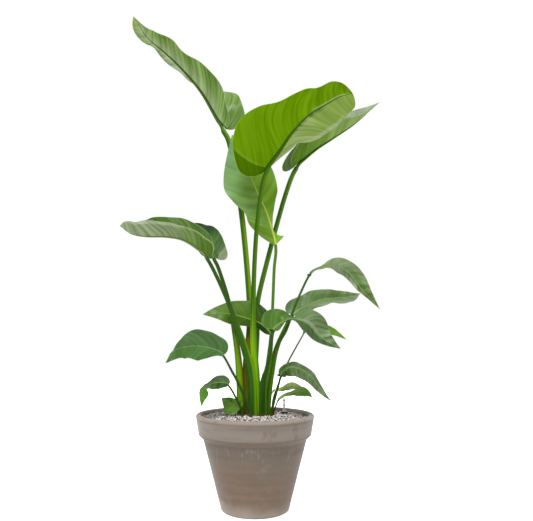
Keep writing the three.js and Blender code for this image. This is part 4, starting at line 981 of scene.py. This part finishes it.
class Nodes:
    """Adds shader nodes to one tree, with their inputs set or linked."""

    def __init__(self, tree):
        self.tree = tree

    def link(self, socket, to):
        self.tree.links.new(socket, to)

    def fill(self, node, inputs):
        for key, value in inputs.items():
            if isinstance(value, bpy.types.NodeSocket):
                self.link(value, node.inputs[key])
            else:
                node.inputs[key].default_value = value

    def add(self, kind, inputs=None, **settings):
        made = self.tree.nodes.new("ShaderNode" + kind)
        for key, value in settings.items():
            setattr(made, key, value)
        self.fill(made, inputs or {})
        return made

    def use(self, group, inputs=None):
        return self.add("Group", inputs, node_tree=group).outputs

    def mark(self, name):
        return self.add("Attribute", attribute_name=name).outputs["Fac"]

    def maths(self, operation, first, second=0.0):
        return self.add("Math", {0: first, 1: second}, operation=operation).outputs[0]

    def plus(self, first, second):
        return self.maths("ADD", first, second)

    def minus(self, first, second):
        return self.maths("SUBTRACT", first, second)

    def times(self, first, second):
        return self.maths("MULTIPLY", first, second)

    def blend(self, share, first, second, how="MIX"):
        made = self.add("Mix", {0: share, 6: first, 7: second}, data_type="RGBA", blend_type=how)
        return made.outputs[2]

    def coat(self, colour, share, shown):
        """The colour with a share of another, told as it shows, laid over it."""
        return self.blend(share, colour, paint(*shown))

    def shaded(self, colour, shade):
        return self.blend(1.0, colour, self.vector(shade, shade, shade), "MULTIPLY")

    def step(self, value, low, high, start=0.0, end=1.0):
        inputs = {"Value": value, "From Min": low, "From Max": high, "To Min": start, "To Max": end}
        return self.add("MapRange", inputs, interpolation_type="SMOOTHSTEP").outputs["Result"]

    def about(self, value, place, soft, start=0.0, end=1.0):
        """A step about a place, as wide as `soft` to each side of it."""
        return self.step(value, self.minus(place, soft), self.plus(place, soft), start, end)

    def belt(self, value, low, low_full, high_full, high):
        """1 between two places, fading out on both sides."""
        return self.times(self.step(value, low, low_full), self.step(value, high_full, high, 1.0, 0.0))

    def noise(self, vector, scale, detail=2.0, roughness=0.5):
        inputs = {"Vector": vector, "Scale": scale, "Detail": detail, "Roughness": roughness}
        return self.add("TexNoise", inputs).outputs["Fac"]

    def place(self, stretch=(1, 1, 1)):
        """Object coordinates, drawn out by a factor along each axis."""
        at = self.add("TexCoord").outputs["Object"]
        return self.add("Mapping", {"Vector": at, "Scale": stretch}).outputs["Vector"]

    def height(self):
        return self.add("SeparateXYZ", {0: self.place()}).outputs["Z"]

    def vector(self, x, y=0.0, z=0.0):
        return self.add("CombineXYZ", {0: x, 1: y, 2: z}).outputs[0]

    def across_half(self):
        """The share of a half's width that a place lies out from the midrib."""
        across, edge = self.mark("rib_distance"), self.mark("edge_distance")
        return self.maths("DIVIDE", across, self.plus(self.plus(across, edge), MM))

    def bump(self, height, strength, distance):
        inputs = {"Height": height, "Strength": strength, "Distance": distance}
        return self.add("Bump", inputs).outputs["Normal"]


def node_group(name, takes, gives):
    """A new shader node group: itself, its nodes, the sockets it takes and those it gives."""
    group = bpy.data.node_groups.new(name, "ShaderNodeTree")
    for label, default in takes.items():
        socket = group.interface.new_socket(label, in_out="INPUT", socket_type="NodeSocketFloat")
        socket.default_value = default
    for label in gives:
        group.interface.new_socket(label, in_out="OUTPUT", socket_type="NodeSocketFloat")
    given = group.nodes.new("NodeGroupInput").outputs
    return group, Nodes(group), given, group.nodes.new("NodeGroupOutput").inputs


def leaf_veins():
    """The side veins at three widths: fine lines, bands between stronger veins, and broad pleats."""
    group, n, _given, out = node_group("leaf_veins", {}, ["Fine", "Band", "Pleat"])
    vein, across = n.mark("vein"), n.mark("rib_distance")
    for label, close, along_vein, shift in (("Fine", 260, 12, 0), ("Band", 78, 6, 7), ("Pleat", 30, 4, 19)):
        vector = n.vector(n.times(vein, close), n.times(across, along_vein), shift)
        n.link(n.step(n.noise(vector, 1.0, 1.5), 0.3, 0.7), out[label])
    return group


def leaf_zones():
    """Where the midrib, the thin pale margin and the dried tip are, and how far in or out a place lies."""
    takes = {"Rib Width": 0.003, "Margin Width": 0.0008, "Dry From": 2.0}
    group, n, given, out = node_group("leaf_zones", takes, ["Rib", "Margin", "Dry", "Inner", "Outer"])
    along, across, edge = n.mark("along"), n.mark("rib_distance"), n.mark("edge_distance")
    width = n.times(given["Rib Width"], n.minus(1.08, along))
    n.link(n.step(n.maths("DIVIDE", across, width), 0.55, 1.0, 1.0, 0.0), out["Rib"])
    wander = n.noise(n.place(), 60.0)
    margin = n.maths("DIVIDE", edge, n.times(given["Margin Width"], n.plus(0.45, wander)))
    n.link(n.step(margin, 0.5, 1.0, 1.0, 0.0), out["Margin"])
    share = n.across_half()
    n.link(n.step(share, 0.05, 0.6, 1.0, 0.0), out["Inner"])
    n.link(n.step(share, 0.35, 1.0), out["Outer"])
    near_edge = n.step(edge, 0.0, 0.012, 0.035, 0.0)
    place = n.plus(n.plus(along, near_edge), n.times(n.minus(wander, 0.5), 0.06))
    n.link(n.step(n.minus(place, given["Dry From"]), 0.0, 0.02), out["Dry"])
    return group


def leaf_patch():
    """A soft-edged area of one half of a blade, by its share of the length and of the half's width."""
    takes = {"Half": 0.0, "From": 0.0, "To": 1.0, "Soft": 0.02, "Slope": 0.0, "Near": 0.0, "Far": 1.0}
    group, n, given, out = node_group("leaf_patch", takes, ["Mask"])
    share = n.across_half()
    place = n.minus(n.mark("along"), n.times(share, given["Slope"]))
    mask = n.about(place, given["From"], given["Soft"])
    end = n.about(place, given["To"], given["Soft"], 1.0, 0.0)
    near = n.about(share, given["Near"], 0.05)
    far = n.about(share, given["Far"], 0.05, 1.0, 0.0)
    other = n.maths("ABSOLUTE", n.minus(n.mark("side"), given["Half"]))
    for factor in (end, near, far, n.step(other, 0.4, 0.6, 1.0, 0.0)):
        mask = n.times(mask, factor)
    n.link(mask, out["Mask"])
    return group


def mottle():
    """Cloudy variation on Object coordinates, at two sizes."""
    group, n, given, out = node_group("mottle", {"Scale": 10.0}, ["Cloud", "Grain"])
    n.link(n.step(n.noise(n.place(), given["Scale"], 3.0), 0.3, 0.7), out["Cloud"])
    n.link(n.noise(n.place(), n.times(given["Scale"], 40.0), 2.0, 0.6), out["Grain"])
    return group


VEINS, ZONES, PATCH, MOTTLE = leaf_veins(), leaf_zones(), leaf_patch(), mottle()


def finish_material(name, build):
    """Makes the material and lets `build` fill in its nodes, which returns the Principled inputs."""
    made = bpy.data.materials.new(name)
    made.use_nodes = True
    nodes = Nodes(made.node_tree)
    nodes.fill(made.node_tree.nodes["Principled BSDF"], build(nodes))
    return made


# ---- Leaf finishes -------------------------------------------------------------------------------

UNDRIED = 1.3  # share of a blade's length from which it is dry, where its tip isn't
DRIED = (104, 74, 42)
PLEATS = 0.75  # how strongly painted shade and light show the pleats on a blade, where SKINS doesn't say
MARGIN_WIDTH = 0.0011
WIDEST_RIB = 6
FACES = dict(
    upper=dict(veins=0.3, rib=0.75, gloss=0.36, shine=0.12),
    under=dict(veins=0.45, rib=1.2, gloss=0.52, shine=0.05),
)
FINE_SHADE = (0.94, 1.03)  # darkest and brightest shade of the veins, and of the bands between them
BAND_SHADE = (0.92, 1.06)
PLEAT_SHADE = (0.24, 0.12)  # how much darker and brighter full pleats make a blade, as painted shade and light
FIBRE, SOIL = (112, 146, 48), (120, 96, 60)  # colours on the stalks
SHEATH_END = (0.36, 0.54)  # heights in metres between which a sheath gives way to the stalk above it
SOIL_LINE = (0.236, 0.256)  # heights in metres between which a stalk gets clean
MIDRIB_START = (0.43, 0.5)  # shares of the way from root end to tip of the midrib


def face_colour(n, side, skin, cloud):
    """The colour of a face of a blade before its shading, from base to tip and with its patches."""
    drift = n.plus(n.mark("along"), n.times(n.minus(cloud, 0.5), 0.35))
    to_tip = n.step(drift, 0.1, 0.9)
    left_base, left_tip, right_base, right_tip = [paint(*shown) for shown in skin[side]]
    left, right = n.blend(to_tip, left_base, left_tip), n.blend(to_tip, right_base, right_tip)
    return n.blend(n.mark("side"), left, right)


def leaf_face(leaf, side):
    """The finish of the upper face or the underside of a blade."""
    skin, looks = SKINS[leaf["name"]], FACES[side]
    rib_width = min(looks["rib"] * leaf["stalk_width"][-1], WIDEST_RIB) * MM
    pleats = skin.get("pleats", PLEATS)

    def build(n):
        pattern = n.use(VEINS)
        widths = {"Rib Width": rib_width, "Margin Width": MARGIN_WIDTH}
        zones = n.use(ZONES, {**widths, "Dry From": skin.get("dry", UNDRIED)})
        cloud = n.use(MOTTLE, {"Scale": 14.0})["Cloud"]
        colour = face_colour(n, side, skin, cloud)
        for part in ("Inner", "Outer"):
            shown, strength = skin.get("%s_%s" % (side, part.lower()), (None, 0))
            if strength:
                colour = n.coat(colour, n.times(zones[part], strength), shown)
        colour = n.coat(colour, n.times(pattern["Band"], looks["veins"]), skin["vein"])
        for area in skin.get(side + "_patches", []):
            mask = n.times(n.use(PATCH, area["inputs"])["Mask"], area["strength"])
            if area["veins"]:
                mask = n.times(mask, pattern[area["veins"]])
            colour = n.coat(colour, mask, area["colour"])
        fine = n.step(pattern["Fine"], 0.0, 1.0, *FINE_SHADE)
        narrow = n.step(pattern["Band"], 0.0, 1.0, *BAND_SHADE)
        # The pleats are painted darker and brighter, as shade and light on their folds.
        broad = n.step(pattern["Pleat"], 0.0, 1.0, 1 - PLEAT_SHADE[0] * pleats, 1 + PLEAT_SHADE[1] * pleats)
        colour = n.shaded(colour, n.times(n.times(fine, narrow), broad))
        colour = n.coat(colour, zones["Rib"], skin["rib"])
        colour = n.coat(colour, zones["Margin"], skin.get("margin", skin["vein"]))
        height = n.plus(pattern["Pleat"], n.times(pattern["Band"], 0.2))
        return {
            "Base Color": n.coat(colour, zones["Dry"], DRIED),
            "Roughness": n.step(cloud, 0.3, 0.7, looks["gloss"] - 0.05, looks["gloss"] + 0.06),
            "Specular IOR Level": skin.get(side + "_shine", looks["shine"]),
            "Normal": n.bump(height, 0.5, 0.0016),
        }

    return finish_material("%s_%s" % (side, leaf["name"]), build)


def stalk_skin(leaf):
    """A stalk with fine fibres, brighter in its sheath than above, with the colours of the sheath's edges."""
    skin = SKINS[leaf["name"]]
    low, high = skin["low"], skin["high"]

    def build(n):
        across, deep, climb = [n.mark(name) for name in STALK_MARKS]
        height = n.height()

        def stripes(close, along, detail):
            vector = n.vector(n.times(across, close), n.times(deep, close), n.times(climb, along))
            return n.noise(vector, 1.0, detail)

        fibres, streak = stripes(9.0, 9.0, 3.0), stripes(2.2, 3.0, 1.0)
        rise = n.plus(height, n.times(n.minus(streak, 0.5), 0.25))
        # On some stalks, such as front_bright's, the sheath's edge colours are a painted highlight and
        # painted shade.
        sheath = n.coat(paint(*low), n.step(across, -0.9, -0.4, 1.0, 0.0), skin.get("low_left", low))
        sheath = n.coat(sheath, n.step(across, 0.2, 0.9), skin.get("low_right", low))
        above = n.coat(paint(*high), n.step(across, -0.3, 0.5), skin.get("high_right", high))
        colour = n.blend(n.step(rise, *SHEATH_END), sheath, above)
        colour = n.coat(colour, n.step(climb, *MIDRIB_START), skin.get("midrib", high))
        colour = n.coat(colour, n.step(fibres, 0.42, 0.72, 0.0, 0.22), FIBRE)
        dirt = n.step(n.plus(height, n.times(fibres, 0.02)), *SOIL_LINE, 0.55, 0.0)
        return {
            "Base Color": n.coat(colour, dirt, SOIL),
            "Roughness": n.step(fibres, 0.3, 0.7, 0.34, 0.5),
            "Specular IOR Level": 0.1,
            "Normal": n.bump(fibres, 0.5, 0.0006),
        }

    return finish_material("skin_" + leaf["name"], build)


# ---- Other finishes ------------------------------------------------------------------------------

CLAY = dict(
    foot=(134, 115, 98), body=(123, 112, 102), band=(145, 135, 126), bloom=(170, 161, 152),
    # under_band_shade is painted shade beneath the band's overhang.
    ring=(108, 92, 78), wash=(164, 154, 143), drip=(176, 169, 160), under_band_shade=(112, 90, 72),
    lip_line=(116, 96, 80), lip=(168, 158, 147), smear=(120, 104, 92), bare=(196, 122, 78),
    speck=(96, 84, 74),
)


def washed_clay():
    """Weathered clay, its marks placed by their height in metres: foot, drips, painted shade under the band,
    band and lip.
    """

    def build(n):
        height = n.height()
        cloud = n.use(MOTTLE, {"Scale": 9.0})
        rings = n.noise(n.place((3.0, 3.0, 55.0)), 1.0, 4.0, 0.6)
        drips = n.noise(n.place((170.0, 170.0, 18.0)), 1.0, 2.0, 0.5)
        blot = n.noise(n.place(), 26.0, 5.0, 0.7)
        smears = n.noise(n.place((1.0, 1.0, 0.7)), 30.0, 5.0, 0.68)
        wander = n.times(n.minus(cloud["Cloud"], 0.5), 0.05)
        rise = n.plus(height, n.times(wander, 0.35))
        dripping = n.belt(height, 0.13, 0.155, 0.168, 0.176)
        layers = [
            ("body", n.step(n.plus(height, wander), 0.03, 0.17)),
            ("band", n.step(height, 0.174, 0.184)),
            ("bloom", n.step(rise, 0.0, 0.04, 0.85, 0.0)),
            ("ring", n.step(rings, 0.42, 0.68, 0.0, 0.35)),
            ("wash", n.step(blot, 0.5, 0.74, 0.0, 0.25)),
            ("drip", n.times(n.step(drips, 0.54, 0.7, 0.0, 0.24), dripping)),
            # Painted shade where the band overhangs the neck.
            ("under_band_shade", n.times(n.belt(height, 0.177, 0.181, 0.187, 0.192), 0.6)),
            ("lip_line", n.times(n.belt(height, 0.224, 0.227, 0.2285, 0.231), 0.4)),
            ("lip", n.step(height, 0.229, 0.234, 0.0, 0.5)),
            ("smear", n.times(n.step(smears, 0.52, 0.68, 0.0, 0.5), n.step(height, 0.178, 0.186))),
            ("bare", n.times(n.times(n.step(blot, 0.46, 0.6), n.step(height, 0.2345, 0.2375)), 0.2)),
            ("speck", n.step(cloud["Grain"], 0.66, 0.8, 0.0, 0.4)),
        ]
        colour = paint(*CLAY["foot"])
        for name, share in layers:
            colour = n.coat(colour, share, CLAY[name])
        relief = n.plus(n.times(rings, 0.8), n.times(cloud["Grain"], 0.5))
        return {
            "Base Color": colour,
            "Roughness": n.step(blot, 0.3, 0.7, 0.78, 0.94),
            "Specular IOR Level": 0.2,
            "Sheen Weight": 0.35,
            "Sheen Roughness": 0.4,
            "Normal": n.bump(relief, 0.5, 0.0012),
        }

    return finish_material("washed_clay", build)


def mineral(name, dark, light):
    def build(n):
        cloud = n.use(MOTTLE, {"Scale": 90.0})
        colour = n.blend(cloud["Cloud"], paint(*dark), paint(*light))
        return {
            "Base Color": n.coat(colour, n.step(cloud["Grain"], 0.55, 0.75, 0.0, 0.4), (108, 98, 90)),
            "Roughness": n.step(cloud["Grain"], 0.3, 0.7, 0.75, 0.95),
            "Normal": n.bump(cloud["Grain"], 0.7, 0.0006),
        }

    return finish_material(name, build)


def stone_bed():
    """The granules below the loose ones, as cells of many colours with painted shade in the gaps between
    them.
    """

    def build(n):
        cells = n.add("TexVoronoi", {"Vector": n.place(), "Scale": 210.0}).outputs["Color"]
        gaps = n.add("TexVoronoi", {"Vector": n.place(), "Scale": 210.0}, feature="DISTANCE_TO_EDGE")
        from_gap = gaps.outputs["Distance"]
        shade = n.add("SeparateColor", {0: cells}).outputs[0]
        colour = n.coat(paint(104, 88, 76), n.step(shade, 0.2, 0.9), (205, 198, 188))
        return {
            # Painted shade darkens the gaps between the cells.
            "Base Color": n.coat(colour, n.step(from_gap, 0.0, 0.12, 1.0, 0.0), (60, 48, 40)),
            "Roughness": n.step(shade, 0.0, 1.0, 0.8, 0.95),
            "Normal": n.bump(n.step(from_gap, 0.0, 0.3), 0.8, 0.0015),
        }

    return finish_material("stone_bed", build)


def moulded(name, colour, roughness):
    """Plastic, a little uneven in its shade and its gloss."""

    def build(n):
        cloud = n.use(MOTTLE, {"Scale": 120.0})
        shade = n.step(cloud["Cloud"], 0.0, 1.0, 0.9, 1.05)
        return {
            "Base Color": n.shaded(paint(*colour), shade),
            "Roughness": n.step(cloud["Grain"], 0.3, 0.7, roughness - 0.05, roughness + 0.05),
            "Normal": n.bump(cloud["Grain"], 0.15, 0.0002),
        }

    return finish_material(name, build)


def clear_tube():
    def build(n):
        cloud = n.use(MOTTLE, {"Scale": 60.0})
        return {
            "Base Color": paint(244, 241, 248),
            "Roughness": n.step(cloud["Cloud"], 0.0, 1.0, 0.12, 0.24),
            "Alpha": 0.42,
            "Normal": n.bump(cloud["Cloud"], 0.1, 0.0003),
        }

    return finish_material("clear_tube", build)


# ---- The plant -----------------------------------------------------------------------------------

for leaf in LEAVES:
    faces = [leaf_face(leaf, "upper"), leaf_face(leaf, "under")]
    blade(leaf, faces, slot_of(BLADE_SLOTS, leaf["name"], "mid_blade"))
    stalk(leaf, stalk_skin(leaf), slot_of(STALK_SLOTS, leaf["name"], "dark_stalk"))

clay_pot(washed_clay())
gauge(
    moulded("dark_collar", (46, 38, 40), 0.45),
    moulded("red_float", (196, 44, 32), 0.4),
    clear_tube(),
    moulded("yellow_mark", (222, 176, 60), 0.5),
)
stones(
    [
        ("white", 0.34, mineral("white_stone", (242, 238, 238), (255, 255, 255))),
        ("beige", 0.33, mineral("beige_stone", (208, 186, 174), (242, 226, 216))),
        ("blue", 0.15, mineral("blue_grey_stone", (178, 184, 192), (226, 232, 240))),
        ("dark", 0.18, mineral("dark_stone", (74, 56, 56), (126, 104, 102))),
    ]
)
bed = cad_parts["granules"]
bed.data.materials.clear()
bed.data.materials.append(stone_bed())

# ---- Studio --------------------------------------------------------------------------------------

CAMERA_BACK = 1333.8  # distance of the camera in front of the pot's middle
CAMERA_HEIGHT = 410
CAMERA_TILT = 7.317  # degrees above the level
SENSOR_WIDTH = 36
IMAGE_WIDTH, IMAGE_HEIGHT = 533, 521
FOCAL_PIXELS = 493.65
AIM_X, AIM_Y = 255, 284.1  # where the lens's axis meets the image
WORLD_LIGHT = 0.8  # how strongly the white surroundings light the plant
WORLD_SEEN = 1.0  # how bright they are to the camera
KEY_FROM = (-0.15, -0.7, 1.0)  # direction to the soft light
KEY_STRENGTH = 2.4
KEY_SPREAD = 20  # degrees that it takes up in the sky
FLOOR_RADIUS = 6  # metres
FLOOR_COLOUR = (0.93, 0.93, 0.93, 1)
FLOOR_GLOW = 0.6  # as the camera sees it
WHITE = (1, 1, 1, 1)


def placed(name, data):
    made = bpy.data.objects.new(name, data)
    bpy.context.scene.collection.objects.link(made)
    return made


def camera():
    data = bpy.data.cameras.new("camera")
    data.sensor_width = SENSOR_WIDTH
    data.lens = FOCAL_PIXELS / IMAGE_WIDTH * SENSOR_WIDTH
    data.shift_x = (IMAGE_WIDTH / 2 - AIM_X) / IMAGE_WIDTH
    data.shift_y = (AIM_Y - IMAGE_HEIGHT / 2) / IMAGE_WIDTH
    made = placed("camera", data)
    made.location = Vector((0, -CAMERA_BACK, CAMERA_HEIGHT)) * MM
    made.rotation_euler = (math.radians(90 + CAMERA_TILT), 0, 0)
    bpy.context.scene.camera = made


def key_light():
    """One broad soft light from above, in front and a little to the left."""
    data = bpy.data.lights.new("key", "SUN")
    data.energy = KEY_STRENGTH
    data.angle = math.radians(KEY_SPREAD)
    placed("key", data).rotation_euler = (-Vector(KEY_FROM)).to_track_quat("-Z", "Y").to_euler()


def plain_floor():
    def build(n):
        cloud = n.use(MOTTLE, {"Scale": 2.0})
        seen = n.add("LightPath").outputs["Is Camera Ray"]
        return {
            "Base Color": FLOOR_COLOUR,
            "Roughness": n.step(cloud["Cloud"], 0.0, 1.0, 0.9, 0.95),
            "Specular IOR Level": 0.1,
            "Emission Color": WHITE,
            "Emission Strength": n.step(seen, 0.0, 1.0, 0.0, FLOOR_GLOW),
        }

    return finish_material("plain_floor", build)


def studio():
    """A pale floor in white surroundings, which the camera sees brighter than they light the plant."""
    bm = bmesh.new()
    bmesh.ops.create_circle(bm, cap_ends=True, segments=96, radius=FLOOR_RADIUS)
    mesh = bpy.data.meshes.new("floor")
    bm.to_mesh(mesh)
    bm.free()
    mesh.materials.append(plain_floor())
    floor = placed("floor", mesh)
    world = bpy.data.worlds.new("studio")
    world.use_nodes = True
    n = Nodes(world.node_tree)
    seen = n.add("LightPath").outputs["Is Camera Ray"]
    strength = n.step(seen, 0.0, 1.0, WORLD_LIGHT, WORLD_SEEN)
    n.fill(world.node_tree.nodes["Background"], {"Color": WHITE, "Strength": strength})
    bpy.context.scene.world = world
    bpy.context.scene.view_settings.view_transform = "Standard"
    key_light()


camera()
studio()
